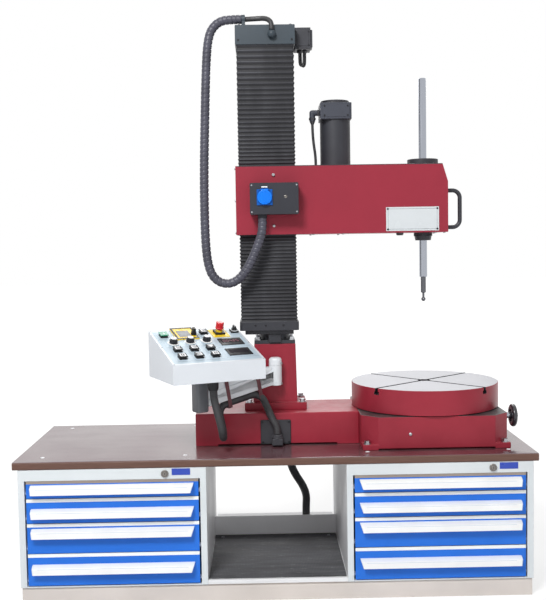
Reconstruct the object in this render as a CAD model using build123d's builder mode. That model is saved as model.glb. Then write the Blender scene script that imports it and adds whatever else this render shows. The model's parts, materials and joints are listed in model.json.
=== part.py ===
"""Tool grinding machine on its drawer bench: separate sub-parts in millimetres, +Z up.

The origin is the middle of the footprint on the floor. +X points to the round table, +Y to the back.
"""
import os
from math import cos, hypot, pi, radians, sin, tan

from build123d import *

# Clearances
RUN_GAP = 0.3          # between faces that slide or turn past each other
SHAFT_GAP = 0.05       # radial, between a shaft and its bore

# Bench
BENCH_WIDTH = 2000.0
TOP_DEPTH = 730.0
TOP_THICK = 30.0
TOP_ROUND = 7.0
TOP_OVERHANG = 20.0
BACK_Y = 411.0
PLINTH_HEIGHT = 68.0
PLINTH_INSET = 24.0
PLINTH_RAIL = 70.0
PLINTH_ROUND = 12.0
CABINET_WIDTH = 713.0
CABINET_HEIGHT = 453.0
CABINET_DEPTH = 700.0
CABINET_SETBACK = 2.0
POST_WIDTH = 24.0
FASCIA_HEIGHT = 42.0
FASCIA_THICK = 20.0
CARCASS_SHEET = 4.0
LOCK_RADIUS = 14.0
LOCK_OUT = 5.0
LOCK_OFFSET = 557.0
FLOOR_THICK = 16.0
PANEL_Y = 240.0
PANEL_THICK = 6.0
PANEL_HEIGHT = 100.0

# Drawers, from the top one down
DRAWER_HEIGHTS = (56.0, 81.0, 102.0, 110.0)
HANDLE_DROPS = (5.0, 25.0, 6.0, 28.0)
DRAWER_TOP_GAP = 11.0
DRAWER_GAP = 14.5
DRAWER_SIDE_GAP = 6.0
DRAWER_FRONT = 12.0
DRAWER_STRIP = 9.0
DRAWER_STRIP_SETBACK = 6.0
TRAY_DEPTH = 600.0
TRAY_SHEET = 3.0
TRAY_DROP = 8.0
RUNNER_RISE = 20.0
RUNNER_THICK = 8.0
LEDGE_WIDTH = 12.0
LEDGE_THICK = 8.0
HANDLE_INSET = 19.0
HANDLE_HEIGHT = 34.0
HANDLE_OUT = 26.0
HANDLE_SHEET = 4.0

# Machine line and bed
MACHINE_Y = 71.0
BED_LEFT = -320.0
BED_DEPTH = 308.0
BED_WALL = 14.0
BED_ROUND = 5.0
RECESS_HEIGHT = 6.0
RECESS_DEPTH = 20.0
BED_FOOT = 90.0
COVER_X = 3.0
COVER_WIDTH = 122.0
COVER_HEIGHT = 97.0
COVER_SHEET = 3.0

# Round table and its base
TABLE_X = 630.0
BASE_WIDTH = 580.0
BASE_HEIGHT = 130.0
BASE_CHAMFER = 62.0
BASE_FOOT = 22.0
BASE_FLOOR = 36.0
TABLE_RADIUS = 303.0
TABLE_THICK = 98.0
TABLE_GAP = 3.0
TABLE_OVER_BED = 2.0
TABLE_BEVEL = 2.0
SLIDE_OUTER = 225.0
SLIDE_INNER = 195.0
POCKET_RADIUS = 175.0
HUB_RADIUS = 60.0
HUB_DEPTH = 118.0
CENTRE_BORE = 25.0
CENTRE_BORE_DEPTH = 70.0
SLOT_WIDTH = 14.0
SLOT_NECK = 14.0
TEE_WIDTH = 24.0
TEE_HEIGHT = 12.0
SLOT_ANGLES = (42.0, 132.0)
WHEEL_RADIUS = 133.0
WHEEL_WIDTH = 28.0
WHEEL_TEETH = 60
TOOTH_DEPTH = 7.0
TOOTH_SPACE = 7.0
WORM_RADIUS = 18.4
WORM_CORE = 14.0
WORM_LENGTH = 90.0
WORM_PITCH = 14.0
WORM_DROP = 26.0
WORM_SHAFT = 12.0
WORM_GAP = 0.6
WORM_JOURNAL = 30.0
HANDWHEEL_RADIUS = 46.0
HANDWHEEL_RIM = 10.0
HANDWHEEL_HUB = 15.0
HANDWHEEL_THICK = 34.0
HANDWHEEL_GAP = 26.0

# Pedestal and swivel
PEDESTAL_X = 6.0
FLANGE_WIDTH = 254.0
FLANGE_DEPTH = 180.0
FLANGE_THICK = 30.0
PEDESTAL_WIDTH = 180.0
PEDESTAL_TOP_WIDTH = 170.0
PEDESTAL_DEPTH = 132.0
PEDESTAL_HEIGHT = 240.0
PEDESTAL_WALL = 12.0
SWIVEL_THICK = 15.0
SWIVEL_WIDTH = 168.0
SWIVEL_DEPTH = 128.0
NECK_RADIUS = 62.0
NECK_HEIGHT = 26.0
SPIGOT_RADIUS = 35.0
SPIGOT_HEIGHT = 26.0
CLAMP_WIDTH = 50.0
CLAMP_DEPTH = 14.0

# Column, bellows and head
COLUMN_X = -15.0
FOOT_HEIGHT = 53.0
FOOT_WIDTH = 242.0
FOOT_DEPTH = 206.0
FOOT_STEP = 17.0
FOOT_STEP_INSET = 22.0
FOOT_CORNER = 16.0
POST_X = 140.0
POST_Y = 68.0
POST_WALL = 10.0
RAIL_OFFSET = 48.0
RAIL_WIDTH = 20.0
RAIL_OUT = 18.0
BELLOWS_WIDTH = 232.0
BELLOWS_DEPTH = 200.0
BELLOWS_FOLD = 8.0
BELLOWS_SHEET = 3.0
LOWER_BELLOWS = 353.0
LOWER_FOLDS = 22
UPPER_BELLOWS = 484.0
UPPER_FOLDS = 30
HEAD_WIDTH = 240.0
HEAD_DEPTH = 208.0
HEAD_HEIGHT = 78.0
HEAD_SHEET = 6.0
HEAD_ROUND = 4.0
HEAD_GLAND_INSET = 28.0
HEAD_GLAND_BACK = 25.0
HEAD_GLAND_RISE = 26.0
DOME_RADIUS = 17.0
LIFT_WIDTH = 66.0
LIFT_DEPTH = 84.0
LIFT_HEIGHT = 86.0
LIFT_CAP = 8.0
LEAD_RADIUS = 4.0
LEAD_SPAN = 18.0
LEAD_HANG = 52.0
SCREW_RADIUS = 12.5
SCREW_END = 10.0
SCREW_FLOOR = 3.0      # between the screw's lower end and the spigot's bore
SCREW_FRONT = 33.0     # from the front of the post to the screw's axis

# Arm
ARM_LEFT = -137.0
ARM_RIGHT = 710.0
ARM_DEPTH = 260.0
ARM_HEIGHT = 275.0
ARM_WALL = 8.0
ARM_ROUND = 3.0
NOSE_LENGTH = 22.0
NOSE_DROP = 72.0
END_PLATE = 5.0
WEB_X = 109.0
CARRIAGE_PLATE = 14.0
CARRIAGE_MARGIN = 12.0
RUNNER_BLOCK = 44.0
RUNNER_GAP = 3.0       # between the runner blocks and the front of the post
NUT_WIDTH = 44.0
NUT_HEIGHT = 90.0
HANDLE_BAR = 8.5
GRAB_OUT = 67.0
GRAB_BACK = 59.0      # from the arm's front to the middle of the bar
GRAB_SPAN = 166.0
GRAB_BEND = 30.0
GRAB_DROP = 98.0

# Spindle and its drive
SHAFT_RADIUS = 16.0
SHAFT_ABOVE = 358.0
SHAFT_BELOW = 184.0
SLEEVE_RADIUS = 30.0
BEARING_RADIUS = 45.0
BEARING_WIDTH = 18.0
BEARING_WALL = 10.0
CAP_RADIUS = 63.0
CAP_HEIGHT = 26.0
COLLAR_RADIUS = 38.0
COLLAR_END = 32.0
COLLAR_HEIGHT = 32.0
SLEEVE_PULLEY = 60.0
MOTOR_PULLEY = 40.0
PULLEY_WIDTH = 30.0
PULLEY_RIM = 3.0
PULLEY_DROP = 120.0
BELT_THICK = 5.0
MOTOR_X = 269.0
MOTOR_RADIUS = 62.0
MOTOR_HEIGHT = 190.0
MOTOR_BOX = 128.0
MOTOR_BOX_DEPTH = 138.0
MOTOR_BOX_HEIGHT = 66.0
MOTOR_CAP_RADIUS = 58.0
MOTOR_CAP_HEIGHT = 13.0
MOTOR_SHAFT = 9.5
MOTOR_SHAFT_UP = 60.0
ELBOW_RADIUS = 12.0
ELBOW_OUT = 29.0
ELBOW_DROP = 35.0
MOTOR_LEAD_RADIUS = 5.5
TOOL_RADIUS = 10.5
TOOL_LENGTH = 66.0
TOOL_NECK = 4.5
TOOL_NECK_LENGTH = 22.0
TOOL_BALL = 9.0

# Socket box on the arm
SOCKET_X = 11.0
SOCKET_WIDTH = 192.0
SOCKET_HEIGHT = 124.0
SOCKET_DEPTH = 70.0
SOCKET_DROP = 72.0
SOCKET_ROUND = 6.0
SOCKET_GLAND_OFFSET = 48.0
OUTLET_X = -27.0
OUTLET_DROP = 57.0
OUTLET_SIZE = 62.0
OUTLET_OUT = 6.0
OUTLET_RADIUS = 22.0
OUTLET_DEPTH = 36.0
LID_RADIUS = 29.0
LID_THICK = 10.0
LID_BARREL = 4.0
LID_PIN = 1.5
LID_BARREL_LENGTH = 30.0

# Console and its arm
CONSOLE_X = -264.0
CONSOLE_YAW = 24.2
CONSOLE_WIDTH = 372.0
CONSOLE_DEPTH = 296.0
CONSOLE_FRONT = 75.0
CONSOLE_REAR = 179.0
CONSOLE_WALL = 4.0
CONSOLE_GLAND_RIGHT = -1.2
CONSOLE_GLAND_FRONT = 71.0
BRACKET_RISE = 75.0
BRACKET_HEIGHT = 114.0
BRACKET_RADIUS = 26.0
BRACKET_OUT = 31.0
BRACKET_PLATE = 4.0
BRACKET_PIN = 10.0
LOWER_KNUCKLE = 14.0
UPPER_KNUCKLE = 32.0
SUPPORT_RISE = 8.0
SUPPORT_FALL = 66.0      # how far the arm drops on its way to the stand
SUPPORT_WIDTH = 34.0
SUPPORT_HEIGHT = 54.0
SUPPORT_GROOVE = 6.0
POST_AXIS_X = -290.0
POST_AXIS_Y = -219.0
STAND_WIDTH = 52.0
STAND_DROP = 132.0
STAND_ROUND = 10.0
STAND_SPIGOT = 15.0
STAND_SPIGOT_DEPTH = 40.0
CONSOLE_GAP = 60.0     # from the bracket's foot to the console's underside

# Controls, placed on the sloped panel from its front left corner
BUTTON_SPOTS = ((44, 256), (213, 264), (57, 120), (123, 120), (190, 120), (55, 57), (121, 57), (187, 57))
BUTTON_BEZEL = 30.0
BUTTON_BEZEL_HEIGHT = 6.0
BUTTON_CAP = 22.0
BUTTON_CAP_HEIGHT = 8.0
BUTTON_LIFT = 4.0
BUTTON_STEM = 7.0
STEM_DEPTH = 22.0
KNOB_SPOTS = ((62, 186), (131, 188), (200, 190))
DIAL_RADIUS = 20.0
DIAL_HEIGHT = 2.0
KNOB_RADIUS = 13.0
KNOB_HEIGHT = 20.0
KNOB_STEM = 4.0
ESTOP_SPOT = (277, 256)
ESTOP_PLATE = (70.0, 74.0)
ESTOP_PLATE_HEIGHT = 2.0
ESTOP_BASE = 17.0
ESTOP_BASE_HEIGHT = 10.0
ESTOP_COLLAR = 14.0
ESTOP_COLLAR_HEIGHT = 7.0
ESTOP_HEAD = 16.0
ESTOP_HEAD_HEIGHT = 28.0
ESTOP_LIFT = 5.0
ESTOP_STEM = 7.0
SELECTOR_SPOT = (345, 264)
SELECTOR_BASE = 30.0
SELECTOR_BASE_HEIGHT = 7.0
SELECTOR_RADIUS = 11.0
SELECTOR_HEIGHT = 7.0
SELECTOR_GRIP = (8.0, 22.0, 12.0)
SWITCH_PLATE_SPOT = (134, 266)
SWITCH_PLATE = (92.0, 104.0)
SWITCH_PLATE_HEIGHT = 5.0
SWITCH_SPOT = (166, 248)
SWITCH_RADIUS = 11.0
SWITCH_HEIGHT = 12.0
SWITCH_GRIP = (9.0, 20.0, 16.0)
DISPLAY_SPOTS = ((296, 172), (293, 79))
DISPLAY_SIZE = (97.0, 60.0)
DISPLAY_HEIGHT = 3.0

# Bolts
BOLT_RADIUS = 11.0
BOLT_HEAD = 10.0
WASHER_RADIUS = 15.0
WASHER_THICK = 3.0
FLANGE_BOLT_INSET = 18.0
FOOT_BOLT_INSET = 19.0
SWIVEL_BOLT_INSET = 16.0

# Hoses
CONDUIT_RADIUS = 15.5
CONDUIT_BORE = 11.0
CONDUIT_RIB = 1.5
CONDUIT_PITCH = 18.0
PILOT_RADIUS = 10.0
SUPPLY_RADIUS = 14.0
BENCH_HOSE_RADIUS = 17.0
GLAND_WALL = 6.0
GLAND_LENGTH = 20.0
GLAND_HEX = 22.0
ENTRY_LENGTH = 14.0
HOSE_X = 62.0
HOSE_Y = 165.0
CONTROL_GAP = 6.0      # between the control cabinet and the walls of the bay
CONTROL_DEPTH = 140.0
CONTROL_HEIGHT = 70.0
CONTROL_GLAND_X = 137.0
CONTROL_GLAND_Y = 281.0
CONDUIT_POINTS = (
    (-107, -8, 2262), (-145, -8, 2262), (-194, -11, 2256), (-230, -16, 2222), (-244, -21, 2170),
    (-250, -27, 2100), (-255, -36, 1995), (-259, -46, 1877), (-263, -56, 1760), (-266, -64, 1645),
    (-267, -72, 1530), (-266, -79, 1425), (-263, -84, 1345), (-256, -88, 1285), (-240, -90.5, 1237),
    (-206, -92.5, 1208), (-162, -93.5, 1206), (-125, -94, 1231), (-98, -94, 1268), (-76, -94, 1310),
    (-58, -94, 1354), (-43, -94, 1395), (-37, -94, 1430), (-37, -94, 1464))
PILOT_SHAPE = ((0, 0, 0), (48, -2, 2), (83, -16, 0), (102, -29, -15), (105, -35, -32), (105, -35, -49))
BENCH_HOSE_POINTS = (
    (62, 165, 501), (62, 165, 458), (70, 180, 405), (92, 212, 352), (122, 250, 300), (140, 274, 248),
    (137, 281, 194), (137, 281, 152))
CONSOLE_HOSE_POINTS = (
    (-236, -265, 833), (-236, -265, 800), (-232, -264, 762), (-222, -263, 720), (-211.5, -262, 678),
    (-204, -257, 642), (-201, -232, 614), (-198.5, -199, 611), (-197.5, -171, 636), (-204, -166, 680),
    (-206, -165, 712), (-190, -153.8, 736.1), (-152, -129, 744.6), (-112, -102.9, 753.5),
    (-84, -84.7, 759.7), (-62.2, -77.2, 753.2), (-44.1, -77, 737.4), (-34.5, -84.2, 716.6),
    (-21, -98.5, 686), (-8, -106, 655), (9, -108, 629), (9, -108, 599.5))
MOTOR_LEAD_SHAPE = ((0, 1.0), (0, 0.79), (4, 0.51), (12, 0.23), (12, 0.0))   # sideways, share of its height

# Heights and places that follow from the sizes above
FRONT_Y = BACK_Y - TOP_DEPTH
CABINET_Z = (PLINTH_HEIGHT, PLINTH_HEIGHT + CABINET_HEIGHT)
CABINET_Y = (FRONT_Y + CABINET_SETBACK, FRONT_Y + CABINET_SETBACK + CABINET_DEPTH)
CABINET_LEFTS = (-BENCH_WIDTH / 2 + TOP_OVERHANG, BENCH_WIDTH / 2 - TOP_OVERHANG - CABINET_WIDTH)
BAY_X = (CABINET_LEFTS[0] + CABINET_WIDTH, CABINET_LEFTS[1])
TOP_Z = CABINET_Z[1] + TOP_THICK
FLOOR_TOP = PLINTH_HEIGHT + FLOOR_THICK
BED_Y = (MACHINE_Y - BED_DEPTH / 2, MACHINE_Y + BED_DEPTH / 2)
BASE_X = (TABLE_X - BASE_WIDTH / 2, TABLE_X + BASE_WIDTH / 2)
BASE_Y = (MACHINE_Y - BASE_WIDTH / 2, MACHINE_Y + BASE_WIDTH / 2)
BASE_TOP = TOP_Z + BASE_HEIGHT
TABLE_Z = (BASE_TOP + TABLE_GAP, BASE_TOP + TABLE_GAP + TABLE_THICK)
BED_TOP = TABLE_Z[0] - TABLE_OVER_BED
WORM_Y = MACHINE_Y - WHEEL_RADIUS - WORM_RADIUS - WORM_GAP
WORM_Z = BASE_TOP - WORM_DROP
FLANGE_TOP = BED_TOP + FLANGE_THICK
PEDESTAL_TOP = FLANGE_TOP + PEDESTAL_HEIGHT
PEDESTAL_FRONT = MACHINE_Y - PEDESTAL_DEPTH / 2
SWIVEL_TOP = PEDESTAL_TOP + SWIVEL_THICK
FOOT_Z = SWIVEL_TOP + NECK_HEIGHT
FOOT_TOP = FOOT_Z + FOOT_HEIGHT
SCREW_BOTTOM = FOOT_Z + SPIGOT_HEIGHT + SCREW_FLOOR
ARM_Z = FOOT_TOP + LOWER_BELLOWS
ARM_TOP = ARM_Z + ARM_HEIGHT
ARM_Y = (MACHINE_Y - ARM_DEPTH / 2, MACHINE_Y + ARM_DEPTH / 2)
HEAD_Z = ARM_TOP + UPPER_BELLOWS
HEAD_TOP = HEAD_Z + HEAD_HEIGHT
HEAD_FRONT = MACHINE_Y - HEAD_DEPTH / 2
SCREW_Y = MACHINE_Y - SCREW_FRONT
PULLEY_Z = (ARM_TOP - PULLEY_DROP - PULLEY_WIDTH, ARM_TOP - PULLEY_DROP)
SHAFT_Z = (ARM_Z - SHAFT_BELOW, ARM_TOP + SHAFT_ABOVE)
SOCKET_Z = (ARM_TOP - SOCKET_DROP - SOCKET_HEIGHT, ARM_TOP - SOCKET_DROP)
SOCKET_FRONT = ARM_Y[0] - SOCKET_DEPTH
OUTLET_Z = SOCKET_Z[1] - OUTLET_DROP
OUTLET_FRONT = SOCKET_FRONT - OUTLET_OUT
LID_HINGE_Y = OUTLET_FRONT - LID_BARREL - RUN_GAP
LID_HINGE_Z = OUTLET_Z + LID_RADIUS
BRACKET_Z = FLANGE_TOP + BRACKET_RISE
HINGE_Y = PEDESTAL_FRONT - BRACKET_OUT
CONSOLE_Z = BRACKET_Z + CONSOLE_GAP

YAW = radians(CONSOLE_YAW)
CONSOLE_RIGHT = Vector(cos(YAW), sin(YAW), 0)
CONSOLE_BACK = Vector(-sin(YAW), cos(YAW), 0)
CONSOLE_Y = -BACK_Y + CONSOLE_WIDTH / 2 * sin(YAW) + CONSOLE_DEPTH / 2 * cos(YAW)
CONSOLE_ORIGIN = Vector(CONSOLE_X, CONSOLE_Y, CONSOLE_Z)
CONSOLE_SIDE = Plane(origin=CONSOLE_ORIGIN, x_dir=CONSOLE_BACK, z_dir=CONSOLE_RIGHT)
PANEL_CORNER = (CONSOLE_ORIGIN - CONSOLE_RIGHT * (CONSOLE_WIDTH / 2) - CONSOLE_BACK * (CONSOLE_DEPTH / 2)
                + Vector(0, 0, CONSOLE_FRONT))
PANEL_SLOPE = CONSOLE_BACK * CONSOLE_DEPTH + Vector(0, 0, CONSOLE_REAR - CONSOLE_FRONT)
PANEL = Plane(origin=PANEL_CORNER, x_dir=CONSOLE_RIGHT, z_dir=CONSOLE_RIGHT.cross(PANEL_SLOPE))

os.makedirs("parts", exist_ok=True)


def block(x, y, z, mode=Mode.ADD):
    """Adds or cuts a box that spans the pairs x, y and z."""
    with Locations(((x[0] + x[1]) / 2, (y[0] + y[1]) / 2, (z[0] + z[1]) / 2)):
        Box(x[1] - x[0], y[1] - y[0], z[1] - z[0], mode=mode)


def upright(x, y, z, radius, mode=Mode.ADD):
    """Adds or cuts a cylinder along Z between the heights z."""
    with Locations((x, y, (z[0] + z[1]) / 2)):
        Cylinder(radius, z[1] - z[0], mode=mode)


def crosswise(x, y, z, radius, mode=Mode.ADD):
    """Adds or cuts a cylinder along X between the places x."""
    with Locations(((x[0] + x[1]) / 2, y, z)):
        Cylinder(radius, x[1] - x[0], rotation=(0, 90, 0), mode=mode)


def forward(x, y, z, radius, mode=Mode.ADD):
    """Adds or cuts a cylinder along Y between the places y."""
    with Locations((x, (y[0] + y[1]) / 2, z)):
        Cylinder(radius, y[1] - y[0], rotation=(90, 0, 0), mode=mode)


def span(centre, width):
    """The pair of ends of a width about its centre."""
    return (centre - width / 2, centre + width / 2)


def on_panel(spot, low, high, size, mode=Mode.ADD):
    """Adds or cuts a disc or a rectangle on the console's panel, between two heights above it."""
    with BuildSketch(PANEL.offset(low)) as outline:
        with Locations(spot):
            if isinstance(size, tuple):
                Rectangle(*size)
            else:
                Circle(size)
    extrude(outline.sketch, amount=high - low, mode=mode)


def hose_radii(points):
    """The largest tangent arc at each corner of a hose's route."""
    points = [Vector(*point) for point in points]
    radii = []
    for before, corner, after in zip(points, points[1:], points[2:]):
        first = corner - before
        second = after - corner
        half_turn = radians(first.get_angle(second)) / 2
        radii.append(0.45 * min(first.length, second.length) / tan(half_turn))
    return radii


def report_hose(name, path, points, radius, solid):
    """Prints a hose's length and radii, and its volume against section times length."""
    ratio = solid.volume / (pi * radius ** 2 * path.length)
    radii = ", ".join(f"{value:.0f}" for value in hose_radii(points))
    print(f"{name}: length {path.length:.0f}, radii {radii}, volume ratio {ratio:.3f}")


# Worktop with a rounded front edge and the hole that the supply hose goes through
with BuildPart() as worktop:
    block(span(0, BENCH_WIDTH), (FRONT_Y, BACK_Y), (TOP_Z - TOP_THICK, TOP_Z))
    fillet(worktop.edges().filter_by(Axis.X).group_by(Axis.Y)[0], min(TOP_ROUND, 0.45 * TOP_THICK))
    upright(HOSE_X, HOSE_Y, (TOP_Z - TOP_THICK, TOP_Z), BENCH_HOSE_RADIUS + RUN_GAP, Mode.SUBTRACT)
worktop.part.label = "worktop"
export_step(worktop.part, "parts/worktop.step")


def drawer_tops():
    """The upper edge of each drawer front, from the top one down."""
    tops = [CABINET_Z[1] - FASCIA_HEIGHT - DRAWER_TOP_GAP]
    for height in DRAWER_HEIGHTS[:-1]:
        tops.append(tops[-1] - height - DRAWER_GAP)
    return tops


DRAWERS = list(zip(drawer_tops(), DRAWER_HEIGHTS, HANDLE_DROPS))


def runner_top(top, height):
    """The height of the ledge that carries a drawer."""
    return top - height + RUNNER_RISE


# Cabinet carcasses: double walls, fascia with lock, floor, back and a pair of ledges for each drawer
with BuildPart() as cabinet_carcasses:
    for left in CABINET_LEFTS:
        block((left, left + CABINET_WIDTH), CABINET_Y, CABINET_Z)
        inside = (left + POST_WIDTH, left + CABINET_WIDTH - POST_WIDTH)
        rear = CABINET_Y[1] - CARCASS_SHEET
        eaves = CABINET_Z[1] - FASCIA_HEIGHT
        block(inside, (CABINET_Y[0], rear), (CABINET_Z[0] + CARCASS_SHEET, eaves), Mode.SUBTRACT)
        behind = (CABINET_Y[0] + FASCIA_THICK, rear)
        ceiling = CABINET_Z[1] - CARCASS_SHEET
        block(inside, behind, (eaves, ceiling), Mode.SUBTRACT)
        for wall in (left, left + CABINET_WIDTH - POST_WIDTH):
            cavity = (wall + CARCASS_SHEET, wall + POST_WIDTH - CARCASS_SHEET)
            block(cavity, behind, (CABINET_Z[0], ceiling), Mode.SUBTRACT)
        forward(left + LOCK_OFFSET, (CABINET_Y[0] - LOCK_OUT, CABINET_Y[0] + FASCIA_THICK),
                CABINET_Z[1] - FASCIA_HEIGHT / 2, LOCK_RADIUS)
        for top, height, drop in DRAWERS:
            ledge = (runner_top(top, height) - LEDGE_THICK, runner_top(top, height))
            length = (CABINET_Y[0] + DRAWER_FRONT + RUN_GAP, rear)
            block((inside[0], inside[0] + LEDGE_WIDTH), length, ledge)
            block((inside[1] - LEDGE_WIDTH, inside[1]), length, ledge)
cabinet_carcasses.part.label = "cabinet_carcasses"
export_step(cabinet_carcasses.part, "parts/cabinet_carcasses.step")


def drawer(left, top, height, drop):
    """A tray with its front, its runners and its full width grip rail."""
    inside = (left + POST_WIDTH, left + CABINET_WIDTH - POST_WIDTH)
    face = (inside[0] + DRAWER_SIDE_GAP, inside[1] - DRAWER_SIDE_GAP)
    tray_inset = LEDGE_WIDTH + 2 * RUN_GAP
    tray = (inside[0] + tray_inset, inside[1] - tray_inset)
    tray_y = (CABINET_Y[0] + DRAWER_FRONT, CABINET_Y[0] + DRAWER_FRONT + TRAY_DEPTH)
    bottom = top - height
    tray_z = (bottom + TRAY_SHEET, top - TRAY_DROP)
    runner = (runner_top(top, height) + RUN_GAP, runner_top(top, height) + RUN_GAP + RUNNER_THICK)
    grip = (face[0] + HANDLE_INSET, face[1] - HANDLE_INSET)
    grip_top = top - drop
    with BuildPart() as piece:
        block(face, (CABINET_Y[0], tray_y[0]), (bottom, top))
        block(face, (CABINET_Y[0] + DRAWER_STRIP_SETBACK, tray_y[0]), (top, top + DRAWER_STRIP))
        block(tray, tray_y, tray_z)
        block((tray[0] + TRAY_SHEET, tray[1] - TRAY_SHEET), (tray_y[0], tray_y[1] - TRAY_SHEET),
              (tray_z[0] + TRAY_SHEET, tray_z[1]), Mode.SUBTRACT)
        block((inside[0] + RUN_GAP, tray[0]), (tray_y[0] + 2 * RUN_GAP, tray_y[1]), runner)
        block((tray[1], inside[1] - RUN_GAP), (tray_y[0] + 2 * RUN_GAP, tray_y[1]), runner)
        with BuildSketch(Plane.YZ.offset(grip[0])):
            with BuildLine():
                outer = CABINET_Y[0] - HANDLE_OUT
                Polyline((CABINET_Y[0], grip_top), (CABINET_Y[0] - HANDLE_OUT / 3, grip_top),
                         (outer, grip_top - HANDLE_HEIGHT / 4), (outer, grip_top - HANDLE_HEIGHT),
                         (outer + HANDLE_SHEET, grip_top - HANDLE_HEIGHT),
                         (outer + HANDLE_SHEET, grip_top - HANDLE_HEIGHT / 4 - HANDLE_SHEET / 2),
                         (CABINET_Y[0] - HANDLE_OUT / 3, grip_top - HANDLE_SHEET),
                         (CABINET_Y[0], grip_top - HANDLE_SHEET), close=True)
            make_face()
        extrude(amount=grip[1] - grip[0])
    return piece


for side, left in zip(("left", "right"), CABINET_LEFTS):
    for number, (top, height, drop) in enumerate(DRAWERS, 1):
        piece = drawer(left, top, height, drop)
        piece.part.label = f"{side}_drawer_{number}"
        export_step(piece.part, f"parts/{side}_drawer_{number}.step")

# Plinth ring with the floor of the open bay and the low panel behind it
with BuildPart() as bench_frame:
    ring_x = span(0, BENCH_WIDTH - 2 * PLINTH_INSET)
    ring_y = (CABINET_Y[0] + PLINTH_INSET / 4, CABINET_Y[1])
    cross = (PANEL_Y - PLINTH_RAIL / 2, PANEL_Y + PLINTH_RAIL / 2)
    well_x = (ring_x[0] + PLINTH_RAIL, ring_x[1] - PLINTH_RAIL)
    block(ring_x, ring_y, (0, PLINTH_HEIGHT))
    block(well_x, (ring_y[0] + PLINTH_RAIL, cross[0]), (0, PLINTH_HEIGHT), Mode.SUBTRACT)
    block(well_x, (cross[1], ring_y[1] - PLINTH_RAIL / 2), (0, PLINTH_HEIGHT), Mode.SUBTRACT)
    front_edges = bench_frame.edges().filter_by(Axis.X).group_by(Axis.Y)[0]
    fillet(front_edges.sort_by(Axis.Z)[-1], min(PLINTH_ROUND, 0.45 * PLINTH_HEIGHT))
    block(BAY_X, (CABINET_Y[0], PANEL_Y), (PLINTH_HEIGHT, FLOOR_TOP))
    block(BAY_X, (PANEL_Y, PANEL_Y + PANEL_THICK), (PLINTH_HEIGHT, PLINTH_HEIGHT + PANEL_HEIGHT))
bench_frame.part.label = "bench_frame"
export_step(bench_frame.part, "parts/bench_frame.step")

# Control cabinet, low behind the panel of the bay
CONTROL_Y = (PANEL_Y + PANEL_THICK, PANEL_Y + PANEL_THICK + CONTROL_DEPTH)
CONTROL_X = (BAY_X[0] + CONTROL_GAP, BAY_X[1] - CONTROL_GAP)
CONTROL_TOP = PLINTH_HEIGHT + CONTROL_HEIGHT
with BuildPart() as control_cabinet:
    block(CONTROL_X, CONTROL_Y, (PLINTH_HEIGHT, CONTROL_TOP))
    block((CONTROL_X[0] + CARCASS_SHEET, CONTROL_X[1] - CARCASS_SHEET),
          (CONTROL_Y[0] + CARCASS_SHEET, CONTROL_Y[1] - CARCASS_SHEET),
          (PLINTH_HEIGHT + CARCASS_SHEET, CONTROL_TOP - CARCASS_SHEET), Mode.SUBTRACT)
control_cabinet.part.label = "control_cabinet"
export_step(control_cabinet.part, "parts/control_cabinet.step")

# Cover plate on the bed and the entries of the console hose and of the bench hose
ENTRY_Y = BED_Y[0] - COVER_SHEET - GLAND_HEX
ENTRY_X = COVER_X + GLAND_WALL
ENTRY_Z = (TOP_Z + RECESS_HEIGHT, TOP_Z + COVER_HEIGHT / 2)
with BuildPart() as cable_fittings:
    block(span(COVER_X, COVER_WIDTH), (BED_Y[0] - COVER_SHEET, BED_Y[0]),
          (TOP_Z + RECESS_HEIGHT, TOP_Z + RECESS_HEIGHT + COVER_HEIGHT))
    block(span(ENTRY_X, 2 * GLAND_HEX), (ENTRY_Y - GLAND_HEX, BED_Y[0] - COVER_SHEET),
          (ENTRY_Z[0], ENTRY_Z[1] - ENTRY_LENGTH))
    upright(ENTRY_X, ENTRY_Y, (ENTRY_Z[1] - ENTRY_LENGTH, ENTRY_Z[1]), SUPPLY_RADIUS + GLAND_WALL)
    underside = TOP_Z - TOP_THICK
    upright(HOSE_X, HOSE_Y, (underside - GLAND_LENGTH, underside), BENCH_HOSE_RADIUS + GLAND_WALL)
    upright(HOSE_X, HOSE_Y, (underside, TOP_Z), BENCH_HOSE_RADIUS)
    upright(CONTROL_GLAND_X, CONTROL_GLAND_Y, (CONTROL_TOP, CONTROL_TOP + ENTRY_LENGTH),
            BENCH_HOSE_RADIUS + GLAND_WALL)
cable_fittings.part.label = "cable_fittings"
export_step(cable_fittings.part, "parts/cable_fittings.step")

# Bed: a box casting, open below, that stands on its two ends
with BuildPart() as bed:
    block((BED_LEFT, BASE_X[0]), BED_Y, (TOP_Z, BED_TOP))
    fillet(bed.edges().filter_by(Axis.Z), BED_ROUND)
    fillet(bed.faces().sort_by(Axis.Z)[-1].edges(), min(BED_ROUND, 0.45 * BED_WALL))
    block((BED_LEFT + BED_WALL, BASE_X[0] - BED_WALL), (BED_Y[0] + BED_WALL, BED_Y[1] - BED_WALL),
          (TOP_Z, BED_TOP - BED_WALL), Mode.SUBTRACT)
    block((BED_LEFT + BED_FOOT, BASE_X[0] - BED_FOOT), BED_Y, (TOP_Z, TOP_Z + RECESS_HEIGHT), Mode.SUBTRACT)
bed.part.label = "bed"
export_step(bed.part, "parts/bed.step")

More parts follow.
